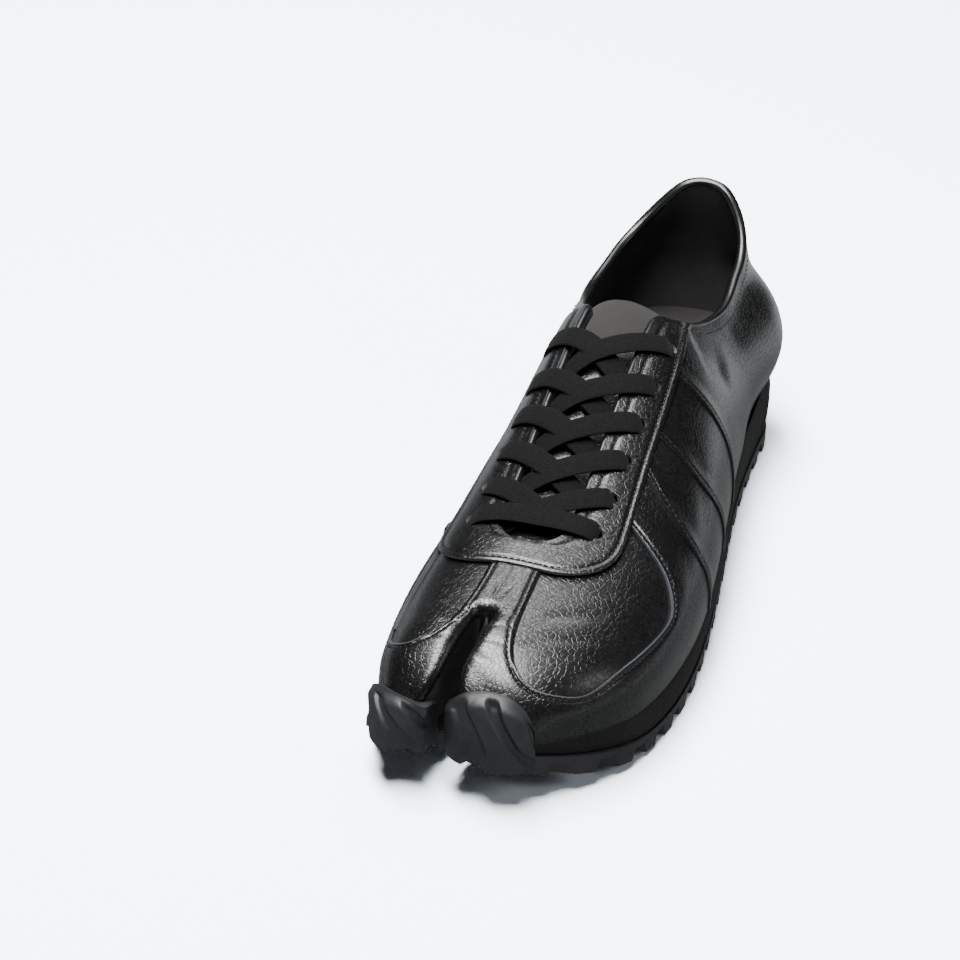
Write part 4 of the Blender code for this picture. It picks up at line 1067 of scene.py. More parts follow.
def slitMap(side, walk, g):
    # Place beside the slit: u runs round its edge, v away from it and below zero down its wall
    points = blendRows("points", side, walk, g)
    radius = lastShape["slitGap"] / 2
    across = np.abs(points[..., 0] - last["ridgeX"](points[..., 1]))
    behind = lastShape["slitEnd"] + radius - points[..., 1]
    fan = np.arctan2(np.maximum(behind, 0.0), np.maximum(across, 1e-6))
    along = np.where(behind > 0, -fan * guardShape["fanRadius"], -behind)
    away = np.hypot(across, np.maximum(behind, 0.0)) - radius
    below = (g - lipAt(side, walk)) * lengthAt(side, walk)
    onWall = (below > 0.05) & (behind < radius)
    return np.stack([along, np.where(onWall, -below, np.maximum(away, 0.0))], -1)


def makeToeGuard():
    bm = bmesh.new()
    for side in sides:
        inner, outer = guardRims(side)
        spread = outer - inner
        length = np.hypot(spread[:, 0], spread[:, 1] * lengthAt(side, inner[:, 0]))
        away = edgeColumns(length, rimColumns, guardShape["columns"])
        v = away / length[:, None]
        grid = inner[:, None] + spread[:, None] * v[..., None]
        walk = grid[..., 0]
        g = grid[..., 1]
        surface = slitMap(side, walk, g)
        top = guardShape["top"] + (overlay["rest"] - guardShape["top"]) * ease((away - 6.0) / 10.0)
        low = guardShape["slitTop"]
        # Along the middle strip the rim is rolled down and dyed dark
        strip = 1 - ease((np.arange(len(length)) - guardShape["stripRows"]) / 14.0)[:, None]
        rolled = guardShape["stripRoll"] * strip * ease(1 - away / 1.9)
        rise = ease((surface[..., 1] + 0.5) / guardShape["slitRamp"])
        lift = low + (top + grooveAt(away) - rolled - low) * rise
        verts, faces = addSkin(bm, side, walk, g, lift, surface * mm)
        dark = {vert for vert in verts[:guardShape["stripRows"] * away.shape[1]]}
        # Faces of the first column along the window rim take the pale cut-edge look: partly the raw edge's
        # own grey-blue, partly a painted highlight where light catches the rounded top edge
        pale = {vert for k, vert in enumerate(verts) if k % away.shape[1] <= guardShape["paleHighlightColumns"]}
        layer = bm.loops.layers.uv.verify()
        for face in faces:
            if max(loop[layer].uv.y for loop in face.loops) < -0.0004:
                face.material_index = 2
            elif all(vert in dark for vert in face.verts):
                face.material_index = 4
            elif all(vert in pale for vert in face.verts):
                face.material_index = 6
    guardLooks = [looks[name] for name in ("guard", "edge", "slitWall", "seamEdge",
                                           "guard", "seamEdge", "edge", "edge")]
    return finishOverlay("toe_guard_leather", bm, guardLooks, "toe_guard")


makeToeGuard()
print("toe guard made")

# Rolled binding round the collar and throat, one closed ring
collarShape = {"collarRadius": 1.5, "throatRadius": 1.35, "step": 1.2, "sides": 14, "sink": 0.8,
               "closeFrom": 170.0, "throatFrom": 112.0}


def openingPath():
    # Rim of the opening from the throat front, up the inner side, round the heel and back down the outer side
    places = []
    limit = float(walkOf(lastShape["throatFront"], medial)) - 0.05
    near = collarShape["closeFrom"]
    walks = np.concatenate([limit - (limit - near) * np.linspace(0, 1, 400) ** 2,
                            np.linspace(near, 0.0, 500)[1:]])
    for side, order in ((medial, walks), (lateral, walks[::-1][1:])):
        g = openAt(side, order)
        points, normals = skinAt(side, order, g, 0.0)
        upward = blendRows("points", side, order, g) - blendRows("points", side, order, g - 0.01)
        kind = np.array([stationOf(value, side) > collarShape["throatFrom"] for value in order])
        for row in zip(points, normals, upward, kind):
            places.append(row)
    points = np.array([row[0] for row in places])
    run = girthOf(points)
    at = np.arange(0, run[-1], collarShape["step"])
    blend = [np.stack([np.interp(at, run, np.array([row[k] for row in places])[:, c]) for c in range(3)], -1)
             for k in range(3)]
    throat = np.interp(at, run, np.array([float(row[3]) for row in places]))
    return blend[0], blend[1], blend[2], throat


def smoothAlong(values, passes):
    for _ in range(passes):
        values = (np.roll(values, 1, axis=0) + 2 * values + np.roll(values, -1, axis=0)) / 4
    return values


def unit(vectors):
    return vectors / np.maximum(np.linalg.norm(vectors, axis=-1, keepdims=True), 1e-9)


def makeCollar():
    shape = collarShape
    points, normals, upward, throat = openingPath()
    points = smoothAlong(points, 4)
    normals = unit(smoothAlong(normals, 8))
    tangents = unit(np.roll(points, -1, axis=0) - np.roll(points, 1, axis=0))
    upward = unit(smoothAlong(upward, 8))
    upward = unit(upward - tangents * np.sum(upward * tangents, -1, keepdims=True))
    radius = smoothAlong(shape["collarRadius"] + (shape["throatRadius"] - shape["collarRadius"]) * throat, 20)
    turn = np.linspace(0, 2 * math.pi, shape["sides"] + 1)
    middle = points - normals * shape["sink"]
    ring = (middle[:, None] + normals[:, None] * (radius[:, None] * np.cos(turn) * 1.25)[..., None]
            + upward[:, None] * (radius[:, None] * np.sin(turn))[..., None])
    ring = np.concatenate([ring, ring[:1]])
    outward = ring - np.concatenate([middle, middle[:1]])[:, None]
    bm = bmesh.new()
    addSheet(bm, toFrame(ring), turnToFrame(outward))
    weld(bm)
    piece = newPiece("collar_binding", bm, (looks["smooth"],))
    return piece


makeCollar()
print("collar made")

# Tongue and insole
tongueShape = {"back": 97.0, "front": 226.0, "halfTop": 23.0, "halfFront": 17.0, "sink": 2.9, "thick": 3.0,
               "corner": 9.0, "taupeTo": 127.0, "rows": 90, "columns": 36, "cornerCut": 10.0}


def acrossPoints(stations, acrosses, lift):
    # Skin points at signed distances from the ridge line
    points = np.zeros(stations.shape + (3,))
    normals = np.zeros(stations.shape + (3,))
    for side in sides:
        pick = acrosses * side >= 0 if side == lateral else acrosses < 0
        walk = walkOf(stations[pick], side)
        g = girthAtAcross(side, walk, np.abs(acrosses[pick]))
        points[pick], normals[pick] = skinAt(side, walk, g, np.broadcast_to(lift, stations.shape)[pick])
    return points, normals


def makeTongue():
    shape = tongueShape
    turn = np.linspace(0, 1, shape["rows"])
    stations = shape["back"] + (shape["front"] - shape["back"]) * turn ** 1.3
    part = (stations - shape["back"]) / (shape["front"] - shape["back"])
    fall = np.clip(1 - (stations - shape["back"]) / shape["corner"], 0, 1)
    half = shape["halfTop"] + (shape["halfFront"] - shape["halfTop"]) * part
    half = half - shape["cornerCut"] * (1 - np.sqrt(1 - fall ** 2))
    across = np.linspace(-1, 1, shape["columns"])
    s = np.broadcast_to(stations[:, None], (shape["rows"], shape["columns"]))
    points, normals = acrossPoints(s, half[:, None] * across, -shape["sink"])
    bm = bmesh.new()
    _, faces = addSheet(bm, toFrame(points), turnToFrame(normals))
    limit = (frameCentre["s"] - shape["taupeTo"]) * mm
    for face in faces:
        face.material_index = 0 if face.calc_center_median().y > limit else 1
    piece = newPiece("tongue_padded", bm, (looks["taupe"], looks["leather"]), ("tongue",))
    giveThickness(piece, shape["thick"])
    roundEdges(piece, 1.1, 3)
    return piece


makeTongue()

insoleShape = {"inset": 3.0, "thick": 4.0, "split": 238.0, "front": 274.0, "columns": 14, "dish": 1.2,
               "heelLift": 7.0, "liftTo": 95.0, "liftRun": 60.0}


def makeInsole():
    shape = insoleShape
    bm = bmesh.new()
    heel = np.linspace(0, lastShape["heelGirth"], 30)
    ahead = np.concatenate([np.linspace(lastShape["heelCentre"], shape["split"], 70)[1:],
                            np.linspace(shape["split"] + shape["inset"], shape["front"], 24)])
    for side in sides:
        rows = []
        for walk in np.concatenate([heel, walkOf(ahead, side)]):
            edge = rowOf(side, walk)[0]
            onHeel = walk < lastShape["heelGirth"]
            s = lastShape["heelCentre"] if onHeel else edge[1]
            centre = np.array([float(last["ridgeX"](s)), s, 0.0])
            if s > shape["split"]:
                beside = halfWidths(s, side)[1] + shape["inset"]
                centre[0] += side * beside * min((s - shape["split"]) / shape["inset"], 1.0)
            inward = centre - np.array([edge[0], edge[1], 0.0])
            inward[1] = inward[1] if onHeel else 0.0
            edge = edge + inward / np.linalg.norm(inward) * shape["inset"] * 1.15
            raised = shape["heelLift"] * float(ease((shape["liftTo"] - edge[1]) / shape["liftRun"]))
            edge[2] = centre[2] = float(last["featherZ"](edge[1])) + shape["thick"] + raised
            part = np.linspace(0, 1, shape["columns"])[:, None]
            row = edge * (1 - part) + centre * part
            row[:, 2] += 0.9 - shape["dish"] * ease(part[:, 0] / 0.5)
            rows.append(row)
        rows = np.array(rows)
        addSheet(bm, toFrame(rows), np.broadcast_to((0.0, 0.0, 1.0), rows.shape))
    weld(bm, 0.00005)
    piece = newPiece("footbed", bm, (looks["taupeDark"],), ("insole",))
    giveThickness(piece, shape["thick"] - 0.8)
    roundEdges(piece, 0.6)
    return piece


makeInsole()
print("tongue and insole made")

# Laces: a straight bar at the toe end, then pairs that cross. Each strap leaves its eyelet,
# runs down to the other side and dives under the throat edge there.
laceShape = {"width": 8.6, "thick": 1.1, "steps": 60, "ringPoints": 16, "tail": 11.0, "tailAhead": 2.0,
             "dRun": (-11.0, -8.0, 0.0, 12.5, 18.0, 20.2, 21.8),
             "over": (-2.0, -0.8, 1.35, 2.85, 3.0, 2.6, 1.0),
             "under": (-2.0, -0.9, 0.05, 2.75, 3.0, 2.6, 1.0),
             "barRun": (0.0, 10.0, 17.0, 20.2, 21.8), "bar": (2.1, 2.9, 3.15, 2.7, 1.0)}


def addTape(bm, points, normals, width, thick):
    # Flat tape with soft sides along a path
    tangents = unit(np.gradient(points, axis=0))
    normals = unit(normals - tangents * np.sum(normals * tangents, -1, keepdims=True))
    acrossWay = np.cross(tangents, normals)
    turn = np.linspace(0, 2 * math.pi, laceShape["ringPoints"] + 1)
    flat = np.sign(np.cos(turn)) * np.abs(np.cos(turn)) ** 0.55 * width / 2
    tall = np.sign(np.sin(turn)) * np.abs(np.sin(turn)) ** 0.8 * thick / 2
    ring = points[:, None] + acrossWay[:, None] * flat[None, :, None] + normals[:, None] * tall[None, :, None]
    run = np.broadcast_to(girthOf(points)[:, None], ring.shape[:2])
    surface = np.stack([run, np.broadcast_to(flat, ring.shape[:2])], -1) * mm
    verts, _ = addSheet(bm, toFrame(ring), turnToFrame(ring - points[:, None]), surface)
    return verts


def strapPath(side, row):
    # From its eyelet, inwards and towards the toe, to end under the strap below on the other side
    shape = laceShape
    rows = eyeletShape["rows"]
    outside = shape["dRun"][-1]
    if row == 0:
        across = np.linspace(outside, -outside, shape["steps"])
        ride = np.interp(np.abs(across), shape["barRun"], shape["bar"])
        stations = np.full(across.shape, rows[0])
    else:
        across = np.linspace(outside, -shape["tail"], shape["steps"])
        ride = np.interp(across, shape["dRun"], shape["over"] if side == lateral else shape["under"])
        part = (outside - across) / (outside + shape["tail"])
        stations = rows[row] + (rows[row - 1] + shape["tailAhead"] - rows[row]) * part
    for _ in range(6):
        ride[1:-1] = (ride[:-2] + 2 * ride[1:-1] + ride[2:]) / 4
    return acrossPoints(stations, side * across, ride)


def smoothEnds(points):
    out = points.copy()
    for _ in range(3):
        out[1:-1] = (out[:-2] + 2 * out[1:-1] + out[2:]) / 4
    return out


def makeLaces():
    bm = bmesh.new()
    for row in range(len(eyeletShape["rows"])):
        for side in (sides if row else (lateral,)):
            points, normals = strapPath(side, row)
            points = np.concatenate([points[:1], smoothEnds(points)[1:-1], points[-1:]])
            addTape(bm, points, normals, laceShape["width"], laceShape["thick"])
    weld(bm, 0.00001)
    ends = [edge for edge in bm.edges if edge.is_boundary]
    bmesh.ops.holes_fill(bm, edges=ends, sides=0)
    return newPiece("lace_tape", bm, (looks["cotton"],), ("laces",))


makeLaces()
print("laces made")

# Stitching: short glossy stitches sunk along the edges, joined into one piece
stitchShape = {"pitch": 2.1, "length": 1.6, "radius": 0.27, "flat": 0.8, "bed": 0.12,
               "collarInset": 4.2, "collarTo": 88.0, "throatTo": 219.0}


def addStitches(bm, points, normals):
    run = girthOf(points)
    for at in np.arange(stitchShape["pitch"] / 2, run[-1], stitchShape["pitch"]):
        centre = np.array([np.interp(at, run, points[:, k]) for k in range(3)])
        ahead = np.array([np.interp(at + 0.3, run, points[:, k]) for k in range(3)])
        up = np.array([np.interp(at, run, normals[:, k]) for k in range(3)])
        forward = Vector(turnToFrame(ahead - centre)).normalized()
        normal = Vector(turnToFrame(up)).normalized()
        across = forward.cross(normal).normalized()
        if across.length < 0.5:
            continue
        turned = Matrix((forward, across, forward.cross(across))).transposed().to_4x4()
        wide = stitchShape["radius"] * mm
        size = Matrix.Diagonal((wide * stitchShape["flat"], wide, stitchShape["length"] / 2 * mm, 1.0))
        place = Matrix.Translation(Vector(toFrame(centre))) @ turned @ Matrix.Rotation(math.pi / 2, 4, "Y")
        bmesh.ops.create_uvsphere(bm, u_segments=6, v_segments=4, radius=1.0, matrix=place @ size)


def makeStitches():
    bm = bmesh.new()
    for side in sides:
        # Eyestay outer edge and front, then its throat edge
        inset = overlay["grooveAt"]
        bed = stitchShape["bed"] - overlay["groove"]
        _, walks, outer, inner = eyestayGrid(side, -inset)
        points, normals = skinAt(side, walks, outer, eyestayShape["lift"] + bed)
        addStitches(bm, points, normals)
        front = eyestayShape["front"] - inset
        reach = float(eyestayReach(np.float64(front), -inset))
        acrosses = np.linspace(0.0, max(reach, 0.5), 12)
        walk = np.full(12, float(walkOf(front, side)))
        points, normals = skinAt(side, walk, girthAtAcross(side, walk, acrosses), eyestayShape["lift"] + bed)
        addStitches(bm, points, normals)
        stations, walks, outer, inner = eyestayGrid(side)
        pick = (inner - outer > 0.09) & (stations < stitchShape["throatTo"])
        away = inner[pick] - eyestayShape["throatStitch"] / lengthAt(side, walks[pick])
        lift = eyestayLift(side, walks[pick], away, inner[pick])
        points, normals = skinAt(side, walks[pick], away, lift + stitchShape["bed"])
        addStitches(bm, points, normals)
        # Window rim, on the guard
        inner, outer = guardRims(side)
        spread = outer - inner
        length = np.hypot(spread[:, 0], spread[:, 1] * lengthAt(side, inner[:, 0]))
        rim = inner + spread * (inset / np.maximum(length, inset))[:, None]
        points, normals = skinAt(side, rim[:, 0], rim[:, 1], guardShape["top"] + bed)
        addStitches(bm, points, normals)
        # Side seams, behind each front edge
        for name in ("first", "second", "third"):
            part = np.linspace(0.02, 0.93, 60)
            walk = np.full(part.shape, 150.0)
            for _ in range(12):
                g = part * panelTop(side, walk)
                walk = seamWalk(name, side, -inset)(blendRows("points", side, walk, g)[..., 2])
            points, normals = skinAt(side, walk, part * panelTop(side, walk),
                                     overlay["rest"] + overlay["step"] * 0.88 - 0.2)
            addStitches(bm, points, normals)
        # Heel tab and collar
        walks = np.linspace(0, heelTabShape["end"] - heelTabShape["fadeFrom"], 40)
        points, normals = skinAt(side, walks, tabLower(side, walks) + inset / lengthAt(side, walks),
                                 overlay["rest"] + overlay["step"] * 0.85 - 0.18)
        addStitches(bm, points, normals)
        walks = np.linspace(heelTabShape["end"], float(walkOf(stitchShape["collarTo"], side)), 90)
        beside = openAt(side, walks) - stitchShape["collarInset"] / lengthAt(side, walks)
        points, normals = skinAt(side, walks, beside, overlay["rest"] + 0.02)
        addStitches(bm, points, normals)
    return newPiece("stitching", bm, (looks["thread"],))


makeStitches()
print("stitching made")

# Sole: foam midsole, rubber outsole with zigzag lugs, rubber curls over both toes
soleShape = {
    "columns": ("s", "medialFlare", "lateralFlare", "groundZ"),
    "sections": ((2.0, 1.0, 0.5, 3.5), (14.0, 1.0, 0.5, 0.0), (95.0, 1.0, 0.2, 0.0),
                 (128.0, 0.5, 0.5, 2.2), (160.0, 1.0, 0.3, 0.0), (222.0, 2.0, 0.5, 0.0),
                 (245.0, 2.0, 1.0, 2.0), (266.0, 2.0, 1.5, 5.6), (280.0, 2.0, 1.5, 10.2),
                 (292.0, 2.0, 1.5, 15.5)),
    "lugPitch": 14.0, "lugCrest": 6.0, "lugSlope": 1.5, "lugDepth": 4.5, "lugZigzag": 2.6, "lugColumns": 13,
    "lugStart": 3.5, "plate": 2.5, "outsoleProud": 0.8, "midsoleProud": 1.0, "midsoleBulge": 0.8,
    "slimFrom": 240.0, "slimRun": 25.0, "notchEnd": 253.0, "seat": 0.3, "cupZ": 30.0, "toeRowsFrom": 250.0,
}
sole = splines(soleShape["columns"], soleShape["sections"])


def planEdge(s, side, out):
    shape = lastShape
    if s < shape["heelCentre"]:
        half = float(cup[sideName(side, "Half")](soleShape["cupZ"])) + out
        depth = shape["heelCentre"] - float(cup["backS"](soleShape["cupZ"])) + out
        back = min((shape["heelCentre"] - s) / depth, 1.0)
        across = (1 - back ** shape["heelPower"]) ** (1 / shape["heelPower"])
        middle = float(last["ridgeX"](shape["heelCentre"])) + shape["heelAxisShift"] * back
        return middle + side * half * across
    tipX = shape["toeTipX"][side]
    edge = float(last[sideName(side, "X")](s)) + side * out
    fall = roundOff(s, shape["toeTip"][side] + out, shape["toeRoundOuter"][side] + out, shape["roundPower"])
    return tipX + (edge - tipX) * fall


def soleFlare(s, side):
    return float(sole[sideName(side, "Flare")](s))


def groundAt(s):
    return max(float(sole["groundZ"](s)), 0.0)


def soleEnds(out):
    back = float(cup["backS"](soleShape["cupZ"])) - out + 0.4
    return back, min(lastShape["toeTip"].values()) + out - 0.05


def closedLoft(rings):
    bm = bmesh.new()
    grid = np.array([list(ring) + [ring[0]] for ring in rings])
    middle = grid.mean(axis=1, keepdims=True)
    addSheet(bm, toFrame(grid), turnToFrame(grid - middle))
    weld(bm, 0.00002)
    bmesh.ops.holes_fill(bm, edges=[edge for edge in bm.edges if edge.is_boundary], sides=0)
    bmesh.ops.triangulate(bm, faces=[face for face in bm.faces if len(face.verts) > 4])
    bmesh.ops.recalc_face_normals(bm, faces=bm.faces)
    return bm


def toeNotch():
    # Cutter for the gap between the two toes of the sole
    shape = lastShape
    rims = {medial: [], lateral: []}
    for s in np.linspace(soleShape["notchEnd"], min(shape["toeTip"].values()), 30):
        for side in sides:
            inner = float(last["ridgeX"](s)) + side * slotHalf(s, soleShape["notchEnd"])
            fall = roundOff(s, shape["toeTip"][side] + soleShape["seat"], shape["toeRoundInner"][side],
                            shape["roundPower"])
            rims[side].append((shape["toeTipX"][side] + (inner - shape["toeTipX"][side]) * fall, s))
    ahead = [(rims[side][-1][0], 300.0) for side in (lateral, medial)]
    outline = rims[lateral] + ahead + rims[medial][:0:-1]
    bm = bmesh.new()
    base = [bm.verts.new(toFrame((x, s, -5.0))) for x, s in outline]
    face = bm.faces.new(base)
    pushed = bmesh.ops.extrude_face_region(bm, geom=[face])
    moved = [part for part in pushed["geom"] if isinstance(part, bmesh.types.BMVert)]
    bmesh.ops.translate(bm, verts=moved, vec=(0, 0, 65 * mm))
    bmesh.ops.recalc_face_normals(bm, faces=bm.faces)
    data = bpy.data.meshes.new("toe notch")
    bm.to_mesh(data)
    bm.free()
    cutter = bpy.data.objects.new("toe_notch", data)
    bpy.context.scene.collection.objects.link(cutter)
    return cutter


def cutNotch(piece, cutter):
    step = piece.modifiers.new("notch", "BOOLEAN")
    step.operation = "DIFFERENCE"
    step.solver = "EXACT"
    step.object = cutter
    bake(piece)
    for polygon in piece.data.polygons:
        polygon.use_smooth = True


def makeMidsole(cutter):
    shape = soleShape
    back, front = soleEnds(0.0)
    turn = np.linspace(0, math.pi / 2, 26)
    toe = shape["toeRowsFrom"]
    stations = np.concatenate([back + (lastShape["heelCentre"] - back) * (1 - np.cos(turn)),
                               np.linspace(lastShape["heelCentre"], toe, 110)[1:],
                               toe + (front - toe) * np.sin(turn)[1:-1]])
    rings = []
    for s in stations:
        top = float(last["featherZ"](s)) - shape["seat"]
        low = groundAt(s) + shape["lugDepth"] + shape["plate"] + shape["seat"]
        slim = float(1 - ease((s - shape["slimFrom"]) / shape["slimRun"]))
        ring = []
        for side in sides:
            flare = soleFlare(s, side)
            column = []
            for part in (1.0, 0.94, 0.8, 0.55, 0.3, 0.1, 0.0):
                swell = shape["midsoleBulge"] * math.sin(math.pi * min(part / 1.1 + 0.05, 1.0))
                out = flare + (shape["midsoleProud"] - flare) * part + swell
                out = out - 0.5 * max(part - 0.85, 0) / 0.15  # drawn in under the leather
                column.append((planEdge(s, side, out * slim), s, low + (top - low) * part))
            ring += column[::-1] if side == medial else column
        rings.append(ring)
    piece = newPiece("midsole_foam", closedLoft(rings), (looks["foam"],), ("midsole",))
    cutNotch(piece, cutter)
    roundEdges(piece, 0.5, 2, 45.0)
    return piece


def makeOutsole(cutter):
    shape = soleShape
    back, front = soleEnds(shape["outsoleProud"] + 1.6)
    valley = shape["lugPitch"] - shape["lugCrest"] - 2 * shape["lugSlope"]
    marks = []
    s = shape["lugStart"]
    while s < front:
        for shift, low in ((0.0, 0.0), (shape["lugCrest"] / 2, 0.0), (shape["lugCrest"], 0.0),
                           (shape["lugCrest"] + shape["lugSlope"], shape["lugDepth"]),
                           (shape["lugCrest"] + shape["lugSlope"] + valley / 2, shape["lugDepth"]),
                           (shape["lugCrest"] + shape["lugSlope"] + valley, shape["lugDepth"])):
            marks.append((s + shift, low))
        s += shape["lugPitch"]
    marks = [(back, shape["lugDepth"])] + [mark for mark in marks if back + 1.0 < mark[0] < front - 1.0]
    marks.append((front, marks[-1][1]))
    rings = []
    for k, (s, low) in enumerate(marks):
        atEnd = k in (0, len(marks) - 1)
        ring = []
        for j in range(shape["lugColumns"]):
            wave = 1 - 2 * abs((j / (shape["lugColumns"] - 1) * 3) % 1 - 0.5) * 2
            here = min(max(s + (0.0 if atEnd else shape["lugZigzag"] * wave), back), front)
            left = planEdge(here, medial, soleFlare(here, medial) + shape["outsoleProud"])
            right = planEdge(here, lateral, soleFlare(here, lateral) + shape["outsoleProud"])
            ring.append((left + (right - left) * j / (shape["lugColumns"] - 1), here, groundAt(here) + low))
        edge = ring[0][1]
        roof = groundAt(edge) + shape["lugDepth"] + shape["plate"]
        ring.append((ring[-1][0], edge, roof))
        ring.append((ring[0][0], edge, roof))
        rings.append(ring)
    piece = newPiece("outsole_tread", closedLoft(rings), (looks["rubber"],), ("outsole",))
    cutNotch(piece, cutter)
    roundEdges(piece, 0.45, 2, 32.0)
    return piece


curlShape = {"lift": 2.3, "thick": 4.0, "thin": 1.6, "footZ": 16.2, "endZ": 26.0, "middle": 268.0,
             "hold": 1.5, "power": 2.4, "span": {medial: (-54.0, 50.0), lateral: (-58.0, 37.0)},
             "slotHalf": 2.5, "topZ": {medial: 32.5, lateral: 37.0}, "across": 110, "up": 56,
             "wave": 1.7, "waves": 2.6, "slant": 0.85, "sway": 0.20, "shift": 0.12,
             "rim": 1.5, "body": 3.4, "teeth": 1.6}


def lobeHeights(side):
    # Height of the toe lobe over plan places, as a table of rows by station
    stations = [stationOf(walk, side) for walk in np.linspace(slitWalk, walkEnd - 0.05, 90)]
    across = np.linspace(0, 60, 241)
    table = []
    for s in stations:
        d, z = halfSection(s, side)
        widest = int(np.argmax(d))
        column = np.interp(across, d[widest:][::-1], z[widest:][::-1])
        column[(across > d[widest]) | (across < halfWidths(s, side)[1])] = -1.0
        table.append(column)
    return np.array(stations), across, np.array(table)


def toeFaces(side, angles, heights):
    # Distance out from the lobe's middle to its face, by halving
    stations, across, table = lobeHeights(side)
    held = np.maximum(heights, float(last["featherZ"](lastShape["toeTip"][side])) + curlShape["hold"])
    low = np.zeros(angles.shape)
    high = np.full(angles.shape, 40.0)
    for _ in range(24):
        reach = (low + high) / 2
        x = lastShape["toeTipX"][side] + reach * np.sin(angles)
        s = curlShape["middle"] + reach * np.cos(angles)
        d = side * (x - last["ridgeX"](s))
        i = np.clip(np.searchsorted(stations, s) - 1, 0, len(stations) - 2)
        j = np.clip((d / (across[1] - across[0])).astype(int), 0, len(across) - 2)
        a = np.clip((s - stations[i]) / (stations[i + 1] - stations[i]), 0, 1)
        b = d / (across[1] - across[0]) - j
        z = ((table[i, j] * (1 - a) + table[i + 1, j] * a) * (1 - b)
             + (table[i, j + 1] * (1 - a) + table[i + 1, j + 1] * a) * b)
        inside = (z > held) & (s < stations[-1]) & (d >= 0)
        low = np.where(inside, reach, low)
        high = np.where(inside, high, reach)
    return np.stack([lastShape["toeTipX"][side] + low * np.sin(angles),
                     curlShape["middle"] + low * np.cos(angles), heights], -1)


def smoothGrid(values, passes):
    for _ in range(passes):
        values[1:-1] = (values[:-2] + 2 * values[1:-1] + values[2:]) / 4
        values[:, 1:-1] = (values[:, :-2] + 2 * values[:, 1:-1] + values[:, 2:]) / 4
    return values


def makeCurl(side, word):
    shape = curlShape
    first, final = (math.radians(value) for value in shape["span"][side])
    angle = np.linspace(first, final, shape["across"])
    part = np.abs(2 * (angle - first) / (final - first) - 1)
    crown = (1 - part ** shape["power"]) ** (1 / shape["power"])
    top = shape["endZ"] + (shape["topZ"][side] - shape["endZ"]) * crown
    up = np.linspace(0, 1, shape["up"])[None, :]
    u = ((angle - first) / (final - first))[:, None]
    # Slanting S waves with flat crests and steep flanks, ending in teeth along the foot
    sway = shape["sway"] * np.sin(2 * math.pi * (up * 0.9 + u * 0.7))
    phase = shape["waves"] * u + shape["slant"] * up + sway + shape["shift"] * side
    saw = np.abs((phase % 1.0) - 0.5) * 2
    facets = ease((saw - 0.20) / 0.30)
    facets = facets + (1 - facets) * ease((up - 0.84) / 0.10)
    foot = shape["footZ"] - shape["teeth"] * (facets[:, :1] - 0.5)
    heights = foot + (top[:, None] - foot) * up
    angles = np.broadcast_to(angle[:, None], heights.shape)
    start = np.array([lastShape["toeTipX"][side], shape["middle"]])
    found = toeFaces(side, angles, heights)
    reach = smoothGrid(np.hypot(found[..., 0] - start[0], found[..., 1] - start[1]), 16)
    lean = np.clip(-np.gradient(reach, axis=1) / np.gradient(heights, axis=1), 0.0, 1.2)
    lean = smoothGrid(lean, 10)
    ray = np.stack([np.sin(angles), np.cos(angles)], -1)
    face = np.concatenate([start + reach[..., None] * ray, heights[..., None]], -1)
    normals = unit(np.concatenate([ray, lean[..., None]], -1))
    body = shape["lift"] + shape["thin"] + (shape["thick"] - shape["thin"]) * crown[:, None] - 0.3
    lift = body + shape["wave"] * (facets - 0.85) - shape["rim"] * ease((up - 0.80) / 0.20)
    shell = []
    keepClear = np.maximum if side == lateral else np.minimum
    for out, clear in ((lift, 0.0), (lift - shape["body"], 0.9)):
        points = face + normals * out[..., None]
        edge = last["ridgeX"](points[..., 1]) + side * (shape["slotHalf"] + clear)
        points[..., 0] = keepClear(points[..., 0], edge)
        shell.append(points)
    outer, inner = shell
    bm = bmesh.new()
    addSheet(bm, toFrame(outer), turnToFrame(normals))
    addSheet(bm, toFrame(inner), turnToFrame(-normals))
    for pick in (np.s_[0], np.s_[-1], np.s_[:, 0], np.s_[:, -1]):
        band = np.stack([outer[pick], inner[pick]], 1)
        addSheet(bm, toFrame(band), np.zeros(band.shape))
    weld(bm, 0.00001)
    bmesh.ops.recalc_face_normals(bm, faces=bm.faces)
    piece = newPiece("toe_curl_" + word, bm, (looks["rubber"],))
    roundEdges(piece, 0.7, 3)
    return piece


notchCutter = toeNotch()
makeMidsole(notchCutter)
makeOutsole(notchCutter)
bpy.data.objects.remove(notchCutter, do_unlink=True)
for side, word in ((medial, "medial"), (lateral, "lateral")):
    makeCurl(side, word)
print("sole made")

# Camera at the photograph's angle, in the frame's metres
cameraSet = {"azimuth": 15.9, "elevation": 30.7, "roll": 2.5, "distance": 1.326, "focal": 3786.0,
             "pixels": 960.0, "sensor": 36.0, "target": (-0.0430, -0.0101, 0.0400), "farthest": 20.0}


def makeCamera():
    data = bpy.data.cameras.new("camera")
    data.sensor_width = cameraSet["sensor"]
    data.lens = cameraSet["focal"] / cameraSet["pixels"] * cameraSet["sensor"]
    data.clip_end = cameraSet["farthest"]
    a = math.radians(cameraSet["azimuth"])
    e = math.radians(cameraSet["elevation"])
    r = math.radians(cameraSet["roll"])
    back = Vector((math.sin(a) * math.cos(e), -math.cos(a) * math.cos(e), math.sin(e)))
    right = Vector((math.cos(a), math.sin(a), 0.0))
    above = back.cross(right)
    turnedRight = right * math.cos(r) + above * math.sin(r)
    turnedUp = above * math.cos(r) - right * math.sin(r)
    camera = bpy.data.objects.new("camera", data)
    bpy.context.scene.collection.objects.link(camera)
    place = Matrix((turnedRight, turnedUp, back)).transposed().to_4x4()
    place.translation = Vector(cameraSet["target"]) + back * cameraSet["distance"]
    camera.matrix_world = place
    bpy.context.scene.camera = camera


makeCamera()
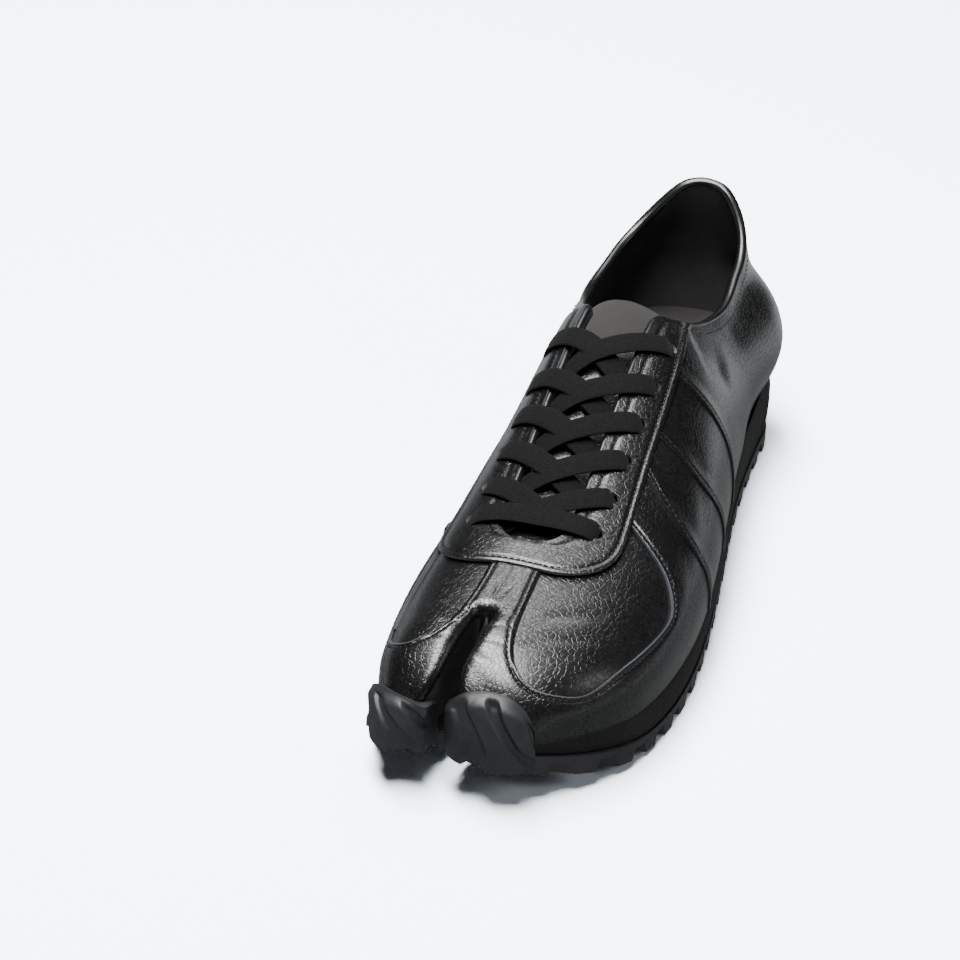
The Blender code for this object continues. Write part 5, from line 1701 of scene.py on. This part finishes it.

# Floor and studio light: a long soft box overhead, a little to the left, and weaker ones behind and right.
# The paper is paler to the camera than its light allows. In reflections it is a glowing painted reflection,
# dimmed close to the shoe as painted shade,
# pale around it and grey further off: near and far are distances, then the glow at each.
studio = {
    "floorSize": 12.0, "floorColour": (0.80, 0.82, 0.84, 1.0),
    "worldColour": (0.88, 0.93, 1.0, 1.0), "world": 0.006,
    "floorSeen": (2.6, 2.85, 3.1, 1.0), "paintedReflection": (0.94, 0.98, 1.0, 1.0),
    "near": (0.16, 0.30, 0.24, 0.78), "far": (0.8, 1.8, 1.0, 0.35),
    "boxes": (
        {"name": "top_box", "at": (-0.22, -0.12, 1.5), "size": (1.35, 0.5), "power": 64.0},
        {"name": "back_box", "at": (-0.12, 0.95, 1.20), "size": (0.7, 0.5), "power": 6.0},
        {"name": "side_box", "at": (1.36, -0.10, 0.85), "size": (0.5, 0.5), "power": 2.2},
    ),
}


def makeFloor():
    bm = bmesh.new()
    bmesh.ops.create_grid(bm, x_segments=1, y_segments=1, size=studio["floorSize"] / 2)
    data = bpy.data.meshes.new("floor")
    bm.to_mesh(data)
    bm.free()
    floor = bpy.data.objects.new("floor", data)
    bpy.context.scene.collection.objects.link(floor)
    paper = bpy.data.materials.new("pale paper")
    paper.use_nodes = True
    tree = paper.node_tree
    tree.nodes.clear()
    ray = addNode(tree, "ShaderNodeLightPath")
    plain = addNode(tree, "ShaderNodeBsdfDiffuse")
    plain.inputs["Color"].default_value = studio["floorColour"]
    bright = addNode(tree, "ShaderNodeBsdfDiffuse")
    bright.inputs["Color"].default_value = studio["floorSeen"]
    seen = addNode(tree, "ShaderNodeMixShader")
    join(tree, ray.outputs["Is Camera Ray"], seen.inputs[0])
    join(tree, plain.outputs[0], seen.inputs[1])
    join(tree, bright.outputs[0], seen.inputs[2])
    # Glossy rays see an emission instead of the lit paper: a painted reflection of the floor, dimmed near the
    # shoe as painted shade
    distance = addNode(tree, "ShaderNodeVectorMath", operation="LENGTH")
    join(tree, addNode(tree, "ShaderNodeTexCoord").outputs["Object"], distance.inputs[0])
    paintedShadeNearShoe = mapRange(tree, distance.outputs["Value"], *studio["near"])
    farGlow = mapRange(tree, distance.outputs["Value"], *studio["far"])
    paintedReflectionGlow = addNode(tree, "ShaderNodeEmission")
    paintedReflectionGlow.inputs["Color"].default_value = studio["paintedReflection"]
    join(tree, mathNode(tree, "MULTIPLY", paintedShadeNearShoe, farGlow), paintedReflectionGlow.inputs["Strength"])
    paintedReflection = addNode(tree, "ShaderNodeMixShader")
    join(tree, ray.outputs["Is Glossy Ray"], paintedReflection.inputs[0])
    join(tree, seen.outputs[0], paintedReflection.inputs[1])
    join(tree, paintedReflectionGlow.outputs[0], paintedReflection.inputs[2])
    join(tree, paintedReflection.outputs[0], addNode(tree, "ShaderNodeOutputMaterial").inputs["Surface"])
    data.materials.append(paper)


def makeStudio():
    makeFloor()
    world = bpy.data.worlds.new("studio")
    world.use_nodes = True
    world.node_tree.nodes["Background"].inputs["Color"].default_value = studio["worldColour"]
    world.node_tree.nodes["Background"].inputs["Strength"].default_value = studio["world"]
    bpy.context.scene.world = world
    for box in studio["boxes"]:
        lamp = bpy.data.lights.new(box["name"], "AREA")
        lamp.shape = "RECTANGLE"
        lamp.size, lamp.size_y = box["size"]
        lamp.energy = box["power"]
        made = bpy.data.objects.new(box["name"], lamp)
        made.location = box["at"]
        made.rotation_euler = (-Vector(box["at"])).to_track_quat("-Z", "Y").to_euler()
        bpy.context.scene.collection.objects.link(made)


makeStudio()
print("camera and studio made")
